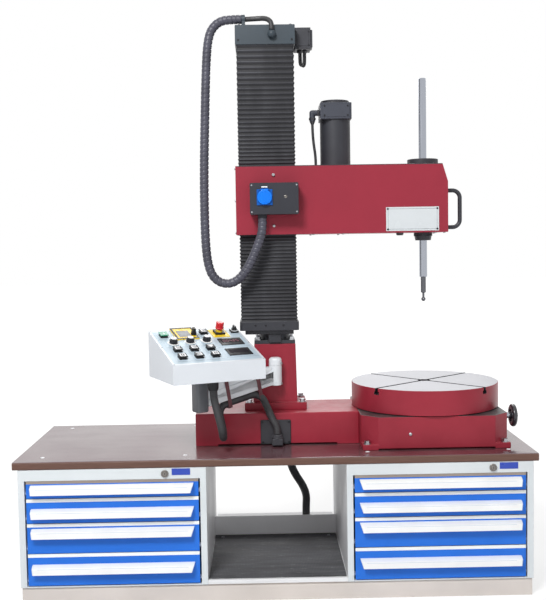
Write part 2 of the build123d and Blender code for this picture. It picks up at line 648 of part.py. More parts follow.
# Base of the round table: an eight sided casting on four feet, with the worm's bore
with BuildPart() as table_base:
    with BuildSketch(Plane.XY.offset(TOP_Z)) as outline:
        with Locations((TABLE_X, MACHINE_Y)):
            Rectangle(BASE_WIDTH, BASE_WIDTH)
        chamfer(outline.vertices(), BASE_CHAMFER)
    extrude(amount=BASE_HEIGHT)
    with BuildSketch(Plane.XY.offset(TOP_Z)) as feet:
        with Locations((TABLE_X, MACHINE_Y)):
            Rectangle(BASE_WIDTH, BASE_WIDTH)
        fillet(feet.vertices(), BED_ROUND)
    extrude(amount=BASE_FOOT)
    recess_x = span(TABLE_X, BASE_WIDTH - 2 * BASE_CHAMFER)
    recess_z = (TOP_Z, TOP_Z + RECESS_HEIGHT)
    block(recess_x, (BASE_Y[0], BASE_Y[0] + RECESS_DEPTH), recess_z, Mode.SUBTRACT)
    block(recess_x, (BASE_Y[1] - RECESS_DEPTH, BASE_Y[1]), recess_z, Mode.SUBTRACT)
    upright(TABLE_X, MACHINE_Y, (TOP_Z + BASE_FLOOR, BASE_TOP), POCKET_RADIUS, Mode.SUBTRACT)
    hub_low = TABLE_Z[0] - HUB_DEPTH
    upright(TABLE_X, MACHINE_Y, (hub_low - RUN_GAP, BASE_TOP), HUB_RADIUS + SHAFT_GAP, Mode.SUBTRACT)
    worm_reach = (TABLE_X - POCKET_RADIUS / 2 - WORM_JOURNAL, BASE_X[1])
    crosswise(worm_reach, WORM_Y, WORM_Z, WORM_SHAFT + SHAFT_GAP, Mode.SUBTRACT)
    worm_room = span(TABLE_X, WORM_LENGTH + 2 * WORM_SHAFT)
    crosswise(worm_room, WORM_Y, WORM_Z, WORM_RADIUS + 2 * WORM_GAP, Mode.SUBTRACT)
table_base.part.label = "table_base"
export_step(table_base.part, "parts/table_base.step")

# Round table with two crossing tee slots, its hub and the worm wheel on the hub
with BuildPart() as round_table:
    upright(TABLE_X, MACHINE_Y, TABLE_Z, TABLE_RADIUS)
    chamfer(round_table.edges().filter_by(GeomType.CIRCLE).sort_by(Axis.Z)[-1], TABLE_BEVEL)
    upright(TABLE_X, MACHINE_Y, (BASE_TOP + RUN_GAP, TABLE_Z[0]), SLIDE_OUTER)
    upright(TABLE_X, MACHINE_Y, (BASE_TOP + RUN_GAP, TABLE_Z[0]), SLIDE_INNER, Mode.SUBTRACT)
    upright(TABLE_X, MACHINE_Y, (hub_low, TABLE_Z[0]), HUB_RADIUS)
    upright(TABLE_X, MACHINE_Y, span(WORM_Z, WHEEL_WIDTH), WHEEL_RADIUS)
    with BuildSketch(Plane.XY.offset(WORM_Z - WHEEL_WIDTH / 2)):
        with Locations((TABLE_X, MACHINE_Y)):
            with PolarLocations(WHEEL_RADIUS - TOOTH_DEPTH / 2, WHEEL_TEETH):
                Rectangle(TOOTH_DEPTH, TOOTH_SPACE)
    extrude(amount=WHEEL_WIDTH, mode=Mode.SUBTRACT)
    for angle in SLOT_ANGLES:
        with Locations((TABLE_X, MACHINE_Y, TABLE_Z[1] - SLOT_NECK / 2)):
            Box(2 * TABLE_RADIUS, SLOT_WIDTH, SLOT_NECK, rotation=(0, 0, angle), mode=Mode.SUBTRACT)
        with Locations((TABLE_X, MACHINE_Y, TABLE_Z[1] - SLOT_NECK - TEE_HEIGHT / 2)):
            Box(2 * TABLE_RADIUS, TEE_WIDTH, TEE_HEIGHT, rotation=(0, 0, angle), mode=Mode.SUBTRACT)
    upright(TABLE_X, MACHINE_Y, (TABLE_Z[1] - CENTRE_BORE_DEPTH, TABLE_Z[1]), CENTRE_BORE, Mode.SUBTRACT)
round_table.part.label = "round_table"
export_step(round_table.part, "parts/round_table.step")

# Worm shaft with its thread as a run of collars, and the handwheel on its end
with BuildPart() as worm_shaft:
    wheel_x = BASE_X[1] + HANDWHEEL_GAP
    crosswise((worm_reach[0] + WORM_GAP, wheel_x), WORM_Y, WORM_Z, WORM_SHAFT)
    crosswise(span(TABLE_X, WORM_LENGTH), WORM_Y, WORM_Z, WORM_CORE)
    for turn in range(round(WORM_LENGTH / WORM_PITCH)):
        ridge = TABLE_X - WORM_LENGTH / 2 + (turn + 0.5) * WORM_PITCH
        crosswise(span(ridge, WORM_PITCH / 2), WORM_Y, WORM_Z, WORM_RADIUS)
worm_shaft.part.label = "worm_shaft"
export_step(worm_shaft.part, "parts/worm_shaft.step")

with BuildPart() as handwheel:
    crosswise((wheel_x, wheel_x + HANDWHEEL_THICK), WORM_Y, WORM_Z, HANDWHEEL_HUB)
    disc = span(wheel_x + HANDWHEEL_THICK / 2, 2 * HANDWHEEL_RIM)
    crosswise(disc, WORM_Y, WORM_Z, HANDWHEEL_RADIUS)
    rims = handwheel.edges().filter_by(GeomType.CIRCLE).sort_by(SortBy.RADIUS)[-2:]
    fillet(rims, 0.9 * HANDWHEEL_RIM)
    for dish in ((disc[0], disc[0] + HANDWHEEL_RIM / 2), (disc[1] - HANDWHEEL_RIM / 2, disc[1])):
        crosswise(dish, WORM_Y, WORM_Z, HANDWHEEL_RADIUS - 2 * HANDWHEEL_RIM, Mode.SUBTRACT)
    crosswise((wheel_x, wheel_x + HANDWHEEL_THICK), WORM_Y, WORM_Z, HANDWHEEL_HUB)
handwheel.part.label = "handwheel"
export_step(handwheel.part, "parts/handwheel.step")

# Pedestal: flange and a hollow, slightly tapered box
with BuildPart() as pedestal:
    block(span(PEDESTAL_X, FLANGE_WIDTH), span(MACHINE_Y, FLANGE_DEPTH), (BED_TOP, FLANGE_TOP))
    for width, z in ((PEDESTAL_WIDTH, FLANGE_TOP), (PEDESTAL_TOP_WIDTH, PEDESTAL_TOP)):
        with BuildSketch(Plane.XY.offset(z)):
            with Locations((PEDESTAL_X, MACHINE_Y)):
                Rectangle(width, PEDESTAL_DEPTH)
    loft()
    hollow_x = span(PEDESTAL_X, PEDESTAL_TOP_WIDTH - 2 * PEDESTAL_WALL)
    hollow_y = span(MACHINE_Y, PEDESTAL_DEPTH - 2 * PEDESTAL_WALL)
    block(hollow_x, hollow_y, (BED_TOP, PEDESTAL_TOP - PEDESTAL_WALL), Mode.SUBTRACT)
pedestal.part.label = "pedestal"
export_step(pedestal.part, "parts/pedestal.step")

# Fixed half of the column's swivel: plate, neck, spigot and the clamp at the front of the neck
with BuildPart() as swivel_plate:
    block(span(PEDESTAL_X, SWIVEL_WIDTH), span(MACHINE_Y, SWIVEL_DEPTH), (PEDESTAL_TOP, SWIVEL_TOP))
    upright(PEDESTAL_X, MACHINE_Y, (SWIVEL_TOP, FOOT_Z - RUN_GAP), NECK_RADIUS)
    block(span(PEDESTAL_X, CLAMP_WIDTH), (MACHINE_Y - NECK_RADIUS - CLAMP_DEPTH, MACHINE_Y),
          (SWIVEL_TOP - SWIVEL_THICK / 2, FOOT_Z - RUN_GAP))
    upright(PEDESTAL_X, MACHINE_Y, (FOOT_Z - RUN_GAP, FOOT_Z + SPIGOT_HEIGHT), SPIGOT_RADIUS)
swivel_plate.part.label = "swivel_plate"
export_step(swivel_plate.part, "parts/swivel_plate.step")

# Column foot, which turns on the spigot and carries the post and the lead screw
with BuildPart() as column_foot:
    block(span(COLUMN_X, FOOT_WIDTH), span(MACHINE_Y, FOOT_DEPTH), (FOOT_Z + FOOT_STEP, FOOT_TOP))
    fillet(column_foot.edges().filter_by(Axis.Z), FOOT_CORNER)
    block(span(COLUMN_X, FOOT_WIDTH - 2 * FOOT_STEP_INSET), span(MACHINE_Y, FOOT_DEPTH - 2 * FOOT_STEP_INSET),
          (FOOT_Z, FOOT_Z + FOOT_STEP))
    spigot_bore = (FOOT_Z, FOOT_Z + SPIGOT_HEIGHT + RUN_GAP)
    upright(PEDESTAL_X, MACHINE_Y, spigot_bore, SPIGOT_RADIUS + SHAFT_GAP, Mode.SUBTRACT)
    upright(COLUMN_X, SCREW_Y, (SCREW_BOTTOM, FOOT_TOP), SCREW_END + SHAFT_GAP, Mode.SUBTRACT)
column_foot.part.label = "column_foot"
export_step(column_foot.part, "parts/column_foot.step")

# Post inside the bellows, a box tube with two guide rails on its front
with BuildPart() as column_post:
    post_y = (MACHINE_Y, MACHINE_Y + POST_Y)
    block(span(COLUMN_X, POST_X), post_y, (FOOT_TOP, HEAD_Z))
    block(span(COLUMN_X, POST_X - 2 * POST_WALL), (post_y[0] + POST_WALL, post_y[1] - POST_WALL),
          (FOOT_TOP, HEAD_Z), Mode.SUBTRACT)
    for side in (-1, 1):
        rail_x = span(COLUMN_X + side * RAIL_OFFSET, RAIL_WIDTH)
        block(rail_x, (MACHINE_Y - RAIL_OUT, MACHINE_Y), (FOOT_TOP, HEAD_Z))
column_post.part.label = "column_post"
export_step(column_post.part, "parts/column_post.step")


def bellows(bottom, top, folds):
    """A rectangular bellows whose walls run in and out once for each fold."""
    pitch = (top - bottom) / folds
    with BuildPart() as piece:
        for inset, mode in ((0, Mode.ADD), (BELLOWS_SHEET, Mode.SUBTRACT)):
            for step in range(2 * folds + 1):
                narrow = 2 * (inset + (BELLOWS_FOLD if step % 2 else 0))
                with BuildSketch(Plane.XY.offset(bottom + step * pitch / 2)):
                    with Locations((COLUMN_X, MACHINE_Y)):
                        Rectangle(BELLOWS_WIDTH - narrow, BELLOWS_DEPTH - narrow)
            loft(ruled=True, mode=mode)
    return piece


lower_bellows = bellows(FOOT_TOP, ARM_Z, LOWER_FOLDS)
lower_bellows.part.label = "lower_bellows"
export_step(lower_bellows.part, "parts/lower_bellows.step")
upper_bellows = bellows(ARM_TOP, HEAD_Z, UPPER_FOLDS)
upper_bellows.part.label = "upper_bellows"
export_step(upper_bellows.part, "parts/upper_bellows.step")

# Column head: a cover over the screw drive, with the conduit's gland on its corner and the pilot hose
# that goes from there to an elbow on its front
HEAD_X = span(COLUMN_X, HEAD_WIDTH)
with BuildPart() as column_head:
    block(HEAD_X, span(MACHINE_Y, HEAD_DEPTH), (HEAD_Z, HEAD_TOP))
    fillet(column_head.faces().sort_by(Axis.Z)[-1].edges(), HEAD_ROUND)
    block((HEAD_X[0] + HEAD_SHEET, HEAD_X[1] - HEAD_SHEET), span(MACHINE_Y, HEAD_DEPTH - 2 * HEAD_SHEET),
          (HEAD_Z + 2 * HEAD_SHEET, HEAD_TOP - HEAD_SHEET), Mode.SUBTRACT)
    upright(COLUMN_X, SCREW_Y, (HEAD_Z, HEAD_Z + 2 * HEAD_SHEET), SCREW_RADIUS + SHAFT_GAP, Mode.SUBTRACT)
    gland = Vector(HEAD_X[0] + HEAD_GLAND_INSET, HEAD_FRONT + HEAD_GLAND_BACK, HEAD_TOP + HEAD_GLAND_RISE)
    gland_x = (gland.X, gland.X + ENTRY_LENGTH)
    crosswise(gland_x, gland.Y, gland.Z, CONDUIT_RADIUS + GLAND_WALL / 2)
    block(gland_x, span(gland.Y, 2 * CONDUIT_RADIUS), (HEAD_TOP, gland.Z))
    pilot_points = [gland + Vector(ENTRY_LENGTH, 0, 0) + Vector(*step) for step in PILOT_SHAPE]
    elbow_x, elbow_y, elbow_z = pilot_points[-1]
    with Locations((elbow_x, elbow_y, elbow_z - DOME_RADIUS)):
        Sphere(DOME_RADIUS)
    forward(elbow_x, (elbow_y, HEAD_FRONT), elbow_z - DOME_RADIUS, 0.8 * DOME_RADIUS)
    with BuildLine() as pilot_path:
        FilletPolyline(*pilot_points, radius=hose_radii(pilot_points))
    with BuildSketch(Plane(origin=pilot_path.line @ 0, z_dir=pilot_path.line % 0)):
        Circle(PILOT_RADIUS)
    sweep()
column_head.part.label = "column_head"
export_step(column_head.part, "parts/column_head.step")

# Lift motor on the head's side, with two short looped leads below
with BuildPart() as lift_motor:
    lift_x = (HEAD_X[1], HEAD_X[1] + LIFT_WIDTH)
    lift_z = HEAD_TOP - LIFT_HEIGHT
    block(lift_x, span(MACHINE_Y, LIFT_DEPTH), (lift_z, HEAD_TOP))
    block((lift_x[1], lift_x[1] + LIFT_CAP), span(MACHINE_Y, LIFT_DEPTH - 2 * LIFT_CAP),
          (lift_z + LIFT_CAP, HEAD_TOP - LIFT_CAP))
    fillet(lift_motor.edges().filter_by(Axis.Y), LIFT_CAP / 3)
    for side in (-1, 1):
        near = lift_x[0] + LIFT_WIDTH / 2 - LEAD_SPAN + side * LEAD_RADIUS
        far = near + LEAD_SPAN
        lead_y = MACHINE_Y + 2 * side * LEAD_RADIUS
        low = lift_z - LEAD_HANG
        with BuildLine():
            Line((near, lead_y, lift_z), (near, lead_y, low))
            bottom = ((near + far) / 2, lead_y, low - LEAD_SPAN / 2)
            ThreePointArc((near, lead_y, low), bottom, (far, lead_y, low))
            Line((far, lead_y, low), (far, lead_y, lift_z))
        with BuildSketch(Plane(origin=(near, lead_y, lift_z), z_dir=(0, 0, -1))):
            Circle(LEAD_RADIUS)
        sweep()
lift_motor.part.label = "lift_motor"
export_step(lift_motor.part, "parts/lift_motor.step")

# Lead screw inside the column, turning in the foot and the head
with BuildPart() as lead_screw:
    upright(COLUMN_X, SCREW_Y, (FOOT_TOP + RUN_GAP, HEAD_Z + 2 * HEAD_SHEET), SCREW_RADIUS)
    upright(COLUMN_X, SCREW_Y, (SCREW_BOTTOM + RUN_GAP, FOOT_TOP + RUN_GAP), SCREW_END)
    upright(COLUMN_X, SCREW_Y, (HEAD_Z + 2 * HEAD_SHEET, HEAD_TOP - 4 * HEAD_SHEET), SCREW_END)
lead_screw.part.label = "lead_screw"
export_step(lead_screw.part, "parts/lead_screw.step")

# Arm: a box with a slanted nose, open round the column, with seats for the spindle's bearings
with BuildPart() as arm_housing:
    inner_y = (ARM_Y[0] + ARM_WALL, ARM_Y[1] - ARM_WALL)
    inner_z = (ARM_Z + ARM_WALL, ARM_TOP - ARM_WALL)
    with BuildSketch(Plane.XZ.offset(-ARM_Y[1])):
        with BuildLine():
            Polyline((ARM_LEFT, ARM_Z), (ARM_RIGHT, ARM_Z), (ARM_RIGHT, ARM_TOP - NOSE_DROP),
                     (ARM_RIGHT - NOSE_LENGTH, ARM_TOP), (ARM_LEFT, ARM_TOP), close=True)
        make_face()
    extrude(amount=ARM_DEPTH)
    fillet(arm_housing.edges().filter_by(Axis.Y), ARM_ROUND)
    block((ARM_LEFT - END_PLATE, ARM_LEFT + ARM_WALL), ARM_Y, (ARM_Z, ARM_TOP))
    chamber_end = ARM_RIGHT - NOSE_LENGTH - ARM_WALL
    block((ARM_LEFT + ARM_WALL, chamber_end), inner_y, inner_z, Mode.SUBTRACT)
    nose_z = (inner_z[0], ARM_TOP - NOSE_DROP - ARM_WALL)
    block((chamber_end, ARM_RIGHT - ARM_WALL), inner_y, nose_z, Mode.SUBTRACT)
    block(span(WEB_X, ARM_WALL), inner_y, inner_z)
    passage_x = span(COLUMN_X, BELLOWS_WIDTH - 2 * (BELLOWS_FOLD + 2 * BELLOWS_SHEET))
    passage_y = span(MACHINE_Y, BELLOWS_DEPTH - 2 * (BELLOWS_FOLD + 2 * BELLOWS_SHEET))
    block(passage_x, passage_y, (ARM_Z, inner_z[0]), Mode.SUBTRACT)
    block(passage_x, passage_y, (inner_z[1], ARM_TOP), Mode.SUBTRACT)
    for seat in ((inner_z[0], inner_z[0] + BEARING_WIDTH), (inner_z[1] - BEARING_WIDTH, inner_z[1])):
        upright(TABLE_X, MACHINE_Y, seat, BEARING_RADIUS + BEARING_WALL)
        upright(TABLE_X, MACHINE_Y, seat, BEARING_RADIUS, Mode.SUBTRACT)
    upright(TABLE_X, MACHINE_Y, (ARM_Z, inner_z[0]), SLEEVE_RADIUS + RUN_GAP, Mode.SUBTRACT)
    upright(TABLE_X, MACHINE_Y, (inner_z[1], ARM_TOP), SLEEVE_RADIUS + RUN_GAP, Mode.SUBTRACT)
    upright(MOTOR_X, MACHINE_Y, (inner_z[1], ARM_TOP), MOTOR_SHAFT + RUN_GAP, Mode.SUBTRACT)
arm_housing.part.label = "arm_housing"
export_step(arm_housing.part, "parts/arm_housing.step")

# Carriage inside the arm: plate, runner blocks on the rails and the nut round the lead screw
with BuildPart() as arm_carriage:
    plate_back = SCREW_Y - NUT_WIDTH / 2
    carriage_z = (ARM_Z + CARRIAGE_MARGIN, ARM_TOP - CARRIAGE_MARGIN)
    block((ARM_LEFT + ARM_WALL, WEB_X - ARM_WALL / 2), (plate_back - CARRIAGE_PLATE, plate_back), carriage_z)
    nut_z = span((ARM_Z + ARM_TOP) / 2, NUT_HEIGHT)
    block(span(COLUMN_X, NUT_WIDTH), (plate_back, SCREW_Y + NUT_WIDTH / 2), nut_z)
    upright(COLUMN_X, SCREW_Y, carriage_z, SCREW_RADIUS + SHAFT_GAP, Mode.SUBTRACT)
    runner_back = MACHINE_Y - RUNNER_GAP
    for side in (-1, 1):
        rail_x = COLUMN_X + side * RAIL_OFFSET
        groove_y = (MACHINE_Y - RAIL_OUT - RUN_GAP, runner_back)
        block(span(rail_x, RUNNER_BLOCK), (plate_back, runner_back), carriage_z)
        block(span(rail_x, RAIL_WIDTH + 2 * RUN_GAP), groove_y, carriage_z, Mode.SUBTRACT)
arm_carriage.part.label = "arm_carriage"
export_step(arm_carriage.part, "parts/arm_carriage.step")

with BuildPart() as spindle_bearings:
    for seat in ((inner_z[0], inner_z[0] + BEARING_WIDTH), (inner_z[1] - BEARING_WIDTH, inner_z[1])):
        upright(TABLE_X, MACHINE_Y, seat, BEARING_RADIUS)
        upright(TABLE_X, MACHINE_Y, seat, SLEEVE_RADIUS, Mode.SUBTRACT)
spindle_bearings.part.label = "spindle_bearings"
export_step(spindle_bearings.part, "parts/spindle_bearings.step")


def pulley(x, radius):
    """A flat belt pulley with a rim at each side."""
    upright(x, MACHINE_Y, PULLEY_Z, radius)
    upright(x, MACHINE_Y, (PULLEY_Z[0], PULLEY_Z[0] + PULLEY_RIM), radius + BELT_THICK)
    upright(x, MACHINE_Y, (PULLEY_Z[1] - PULLEY_RIM, PULLEY_Z[1]), radius + BELT_THICK)


# Drive sleeve: cap above the arm, pulley inside it and a tapered collar below it
with BuildPart() as drive_sleeve:
    sleeve_z = (ARM_Z - RUN_GAP, ARM_TOP + RUN_GAP)
    upright(TABLE_X, MACHINE_Y, sleeve_z, SLEEVE_RADIUS - SHAFT_GAP)
    upright(TABLE_X, MACHINE_Y, (sleeve_z[1], sleeve_z[1] + CAP_HEIGHT), CAP_RADIUS)
    pulley(TABLE_X, SLEEVE_PULLEY)
    with Locations((TABLE_X, MACHINE_Y, sleeve_z[0] - COLLAR_HEIGHT / 2)):
        Cone(COLLAR_END, COLLAR_RADIUS, COLLAR_HEIGHT)
    bore_z = (sleeve_z[0] - COLLAR_HEIGHT, sleeve_z[1] + CAP_HEIGHT)
    upright(TABLE_X, MACHINE_Y, bore_z, SHAFT_RADIUS + SHAFT_GAP, Mode.SUBTRACT)
drive_sleeve.part.label = "drive_sleeve"
export_step(drive_sleeve.part, "parts/drive_sleeve.step")

with BuildPart() as spindle_shaft:
    upright(TABLE_X, MACHINE_Y, SHAFT_Z, SHAFT_RADIUS)
    chamfer(spindle_shaft.edges().filter_by(GeomType.CIRCLE), TABLE_BEVEL)
spindle_shaft.part.label = "spindle_shaft"
export_step(spindle_shaft.part, "parts/spindle_shaft.step")

with BuildPart() as tool_holder:
    shank_z = SHAFT_Z[0] - TOOL_LENGTH
    upright(TABLE_X, MACHINE_Y, (shank_z, SHAFT_Z[0]), TOOL_RADIUS)
    chamfer(tool_holder.edges().filter_by(GeomType.CIRCLE).sort_by(Axis.Z)[0], TOOL_NECK / 2)
    upright(TABLE_X, MACHINE_Y, (shank_z - TOOL_NECK_LENGTH, shank_z), TOOL_NECK)
    with Locations((TABLE_X, MACHINE_Y, shank_z - TOOL_NECK_LENGTH - TOOL_BALL / 2)):
        Sphere(TOOL_BALL)
tool_holder.part.label = "tool_holder"
export_step(tool_holder.part, "parts/tool_holder.step")

with BuildPart() as motor_pulley:
    upright(MOTOR_X, MACHINE_Y, (PULLEY_Z[0], ARM_TOP + MOTOR_SHAFT_UP - RUN_GAP), MOTOR_SHAFT)
    pulley(MOTOR_X, MOTOR_PULLEY)
motor_pulley.part.label = "motor_pulley"
export_step(motor_pulley.part, "parts/motor_pulley.step")

# Belt round both pulleys
with BuildPart() as drive_belt:
    belt_z = (PULLEY_Z[0] + PULLEY_RIM + RUN_GAP, PULLEY_Z[1] - PULLEY_RIM - RUN_GAP)
    for thick, mode in ((BELT_THICK, Mode.ADD), (0, Mode.SUBTRACT)):
        with BuildSketch(Plane.XY.offset(belt_z[0])):
            for x, radius in ((MOTOR_X, MOTOR_PULLEY), (TABLE_X, SLEEVE_PULLEY)):
                with Locations((x, MACHINE_Y)):
                    Circle(radius + RUN_GAP + thick)
            make_hull()
        extrude(amount=belt_z[1] - belt_z[0], mode=mode)
drive_belt.part.label = "drive_belt"
export_step(drive_belt.part, "parts/drive_belt.step")

# Spindle motor with its terminal box, fan cap, cable elbow and lead into the arm
with BuildPart() as spindle_motor:
    box_z = ARM_TOP + MOTOR_HEIGHT
    cap_z = box_z + MOTOR_BOX_HEIGHT
    upright(MOTOR_X, MACHINE_Y, (ARM_TOP, box_z), MOTOR_RADIUS)
    block(span(MOTOR_X, MOTOR_BOX), span(MACHINE_Y, MOTOR_BOX_DEPTH), (box_z, cap_z))
    fillet(spindle_motor.edges().filter_by(Axis.Z).sort_by(Axis.X)[-2:], MOTOR_CAP_HEIGHT)
    upright(MOTOR_X, MACHINE_Y, (cap_z, cap_z + MOTOR_CAP_HEIGHT), MOTOR_CAP_RADIUS)
    lead_x = MOTOR_X - MOTOR_BOX / 2 - ELBOW_OUT
    elbow_z = (box_z + cap_z) / 2
    lead_top = elbow_z - ELBOW_DROP
    crosswise((lead_x, MOTOR_X), MACHINE_Y, elbow_z, ELBOW_RADIUS)
    upright(lead_x, MACHINE_Y, (lead_top, elbow_z), ELBOW_RADIUS)
    with Locations((lead_x, MACHINE_Y, elbow_z)):
        Sphere(ELBOW_RADIUS)
    lead_points = []
    for aside, share in MOTOR_LEAD_SHAPE:
        lead_points.append((lead_x + aside, MACHINE_Y, ARM_TOP + share * (lead_top - ARM_TOP)))
    with BuildLine() as lead_path:
        FilletPolyline(*lead_points, radius=hose_radii(lead_points))
    with BuildSketch(Plane(origin=lead_path.line @ 0, z_dir=lead_path.line % 0)):
        Circle(MOTOR_LEAD_RADIUS)
    sweep()
    upright(MOTOR_X, MACHINE_Y, (ARM_TOP, ARM_TOP + MOTOR_SHAFT_UP), MOTOR_SHAFT + SHAFT_GAP, Mode.SUBTRACT)
spindle_motor.part.label = "spindle_motor"
export_step(spindle_motor.part, "parts/spindle_motor.step")

# Bent bar to pull the arm round by
with BuildPart() as grab_handle:
    bar_top = ARM_TOP - GRAB_DROP - HANDLE_BAR
    bar_low = bar_top - GRAB_SPAN + 2 * HANDLE_BAR
    bar_x = ARM_RIGHT + GRAB_OUT - HANDLE_BAR
    bar_y = ARM_Y[0] + GRAB_BACK
    with BuildLine() as bar:
        FilletPolyline((ARM_RIGHT, bar_y, bar_top), (bar_x, bar_y, bar_top),
                       (bar_x, bar_y, bar_low), (ARM_RIGHT, bar_y, bar_low), radius=GRAB_BEND)
    with BuildSketch(Plane(origin=bar.line @ 0, z_dir=bar.line % 0)):
        Circle(HANDLE_BAR)
    sweep()
    for z in (bar_top, bar_low):
        crosswise((ARM_RIGHT, ARM_RIGHT + HANDLE_BAR / 2), bar_y, z, 1.6 * HANDLE_BAR)
grab_handle.part.label = "grab_handle"
export_step(grab_handle.part, "parts/grab_handle.step")

# Socket box on the arm's front, with an outlet frame, the lid's hinge ears and the conduit's gland
LID_HALF = LID_BARREL_LENGTH / 2
with BuildPart() as socket_box:
    block(span(SOCKET_X, SOCKET_WIDTH), (SOCKET_FRONT, ARM_Y[0]), SOCKET_Z)
    fillet(socket_box.edges().filter_by(Axis.Y), SOCKET_ROUND)
    block(span(OUTLET_X, OUTLET_SIZE), (OUTLET_FRONT, SOCKET_FRONT), span(OUTLET_Z, OUTLET_SIZE))
    forward(OUTLET_X, (OUTLET_FRONT, OUTLET_FRONT + OUTLET_DEPTH), OUTLET_Z, OUTLET_RADIUS, Mode.SUBTRACT)
    for side in (-1, 1):
        ear = OUTLET_X + side * (LID_HALF + RUN_GAP + LID_BARREL / 2)
        ear_y = (LID_HINGE_Y - LID_BARREL / 2, OUTLET_FRONT)
        block(span(ear, LID_BARREL), ear_y, span(LID_HINGE_Z, LID_BARREL))
    crosswise(span(OUTLET_X, LID_BARREL_LENGTH + LID_BARREL), LID_HINGE_Y, LID_HINGE_Z, LID_PIN)
    gland_z = (SOCKET_Z[0] - ENTRY_LENGTH, SOCKET_Z[0])
    upright(SOCKET_X - SOCKET_GLAND_OFFSET, (SOCKET_FRONT + ARM_Y[0]) / 2, gland_z,
            CONDUIT_RADIUS + GLAND_WALL / 2)
socket_box.part.label = "socket_box"
export_step(socket_box.part, "parts/socket_box.step")

with BuildPart() as socket_lid:
    lid_back = OUTLET_FRONT - RUN_GAP
    forward(OUTLET_X, (lid_back - LID_THICK, lid_back), OUTLET_Z, LID_RADIUS)
    fillet(socket_lid.edges().filter_by(GeomType.CIRCLE).group_by(Axis.Y)[0], LID_THICK / 4)
    crosswise(span(OUTLET_X, LID_BARREL_LENGTH), LID_HINGE_Y, LID_HINGE_Z, LID_BARREL)
    crosswise(span(OUTLET_X, LID_BARREL_LENGTH), LID_HINGE_Y, LID_HINGE_Z, LID_PIN + SHAFT_GAP, Mode.SUBTRACT)
socket_lid.part.label = "socket_lid"
export_step(socket_lid.part, "parts/socket_lid.step")

# Bracket on the pedestal with the two outer knuckles and the pin of the console's arm
KNUCKLE_Z = (BRACKET_Z + LOWER_KNUCKLE, BRACKET_Z + BRACKET_HEIGHT - UPPER_KNUCKLE)
with BuildPart() as console_bracket:
    bracket_x = span(PEDESTAL_X, 2 * BRACKET_RADIUS)
    bracket_top = BRACKET_Z + BRACKET_HEIGHT
    for knuckle in ((BRACKET_Z, KNUCKLE_Z[0]), (KNUCKLE_Z[1], bracket_top)):
        upright(PEDESTAL_X, HINGE_Y, knuckle, BRACKET_RADIUS)
    fillet(console_bracket.edges().filter_by(GeomType.CIRCLE).sort_by(Axis.Z)[-1], BRACKET_RADIUS / 2)
    for knuckle in ((BRACKET_Z, KNUCKLE_Z[0]), (KNUCKLE_Z[1], bracket_top - BRACKET_RADIUS / 2)):
        block(bracket_x, (HINGE_Y, PEDESTAL_FRONT), knuckle)
    plate_z = (BRACKET_Z, bracket_top - BRACKET_RADIUS / 2)
    block(bracket_x, (PEDESTAL_FRONT - BRACKET_PLATE, PEDESTAL_FRONT), plate_z)
    upright(PEDESTAL_X, HINGE_Y, KNUCKLE_Z, BRACKET_PIN)
console_bracket.part.label = "console_bracket"
export_step(console_bracket.part, "parts/console_bracket.step")

# Console arm: knuckle, sloping grooved bar and the stand that the console turns on
REACH = Vector(POST_AXIS_X - PEDESTAL_X, POST_AXIS_Y - HINGE_Y, 0)
SUPPORT_PLANE = Plane(origin=(PEDESTAL_X, HINGE_Y, BRACKET_Z + SUPPORT_RISE), x_dir=REACH, z_dir=(0, 0, 1))
SUPPORT_SIDE = Plane(origin=SUPPORT_PLANE.origin, x_dir=REACH, z_dir=REACH.cross(Vector(0, 0, 1)))


def sloped_band(low, high, length):
    """Corners of a band that runs down the arm's slope, between two heights over its lower edge."""
    drop = SUPPORT_FALL * length / REACH.length
    return (0, low), (length, low - drop), (length, high - drop), (0, high)


with BuildPart() as console_arm:
    with BuildSketch(SUPPORT_PLANE.offset(CONSOLE_GAP - SUPPORT_RISE - RUN_GAP - STAND_DROP)):
        with Locations((REACH.length, 0)):
            RectangleRounded(STAND_WIDTH, STAND_WIDTH, STAND_ROUND)
    extrude(amount=STAND_DROP)
    fillet(console_arm.faces().sort_by(Axis.Z)[0].edges(), 0.8 * STAND_ROUND)
    with BuildSketch(SUPPORT_SIDE):
        Polygon(*sloped_band(0, SUPPORT_HEIGHT, REACH.length), align=None)
    extrude(amount=SUPPORT_WIDTH / 2, both=True)
    groove_low = (SUPPORT_HEIGHT - SUPPORT_GROOVE) / 2
    for side in (-1, 1):
        with BuildSketch(SUPPORT_SIDE.offset(side * SUPPORT_WIDTH / 2)):
            groove_end = REACH.length - STAND_WIDTH / 2
            Polygon(*sloped_band(groove_low, groove_low + SUPPORT_GROOVE, groove_end), align=None)
        extrude(amount=SUPPORT_GROOVE / 2, both=True, mode=Mode.SUBTRACT)
    upright(PEDESTAL_X, HINGE_Y, (BRACKET_Z, KNUCKLE_Z[0] + RUN_GAP), BRACKET_RADIUS + 1.0, Mode.SUBTRACT)
    upright(PEDESTAL_X, HINGE_Y, (KNUCKLE_Z[0] + RUN_GAP, KNUCKLE_Z[1] - RUN_GAP), BRACKET_RADIUS)
    upright(PEDESTAL_X, HINGE_Y, KNUCKLE_Z, BRACKET_PIN + SHAFT_GAP, Mode.SUBTRACT)
    socket_z = (CONSOLE_Z - STAND_SPIGOT_DEPTH - RUN_GAP, CONSOLE_Z)
    upright(POST_AXIS_X, POST_AXIS_Y, socket_z, STAND_SPIGOT + SHAFT_GAP, Mode.SUBTRACT)
console_arm.part.label = "console_arm"
export_step(console_arm.part, "parts/console_arm.step")

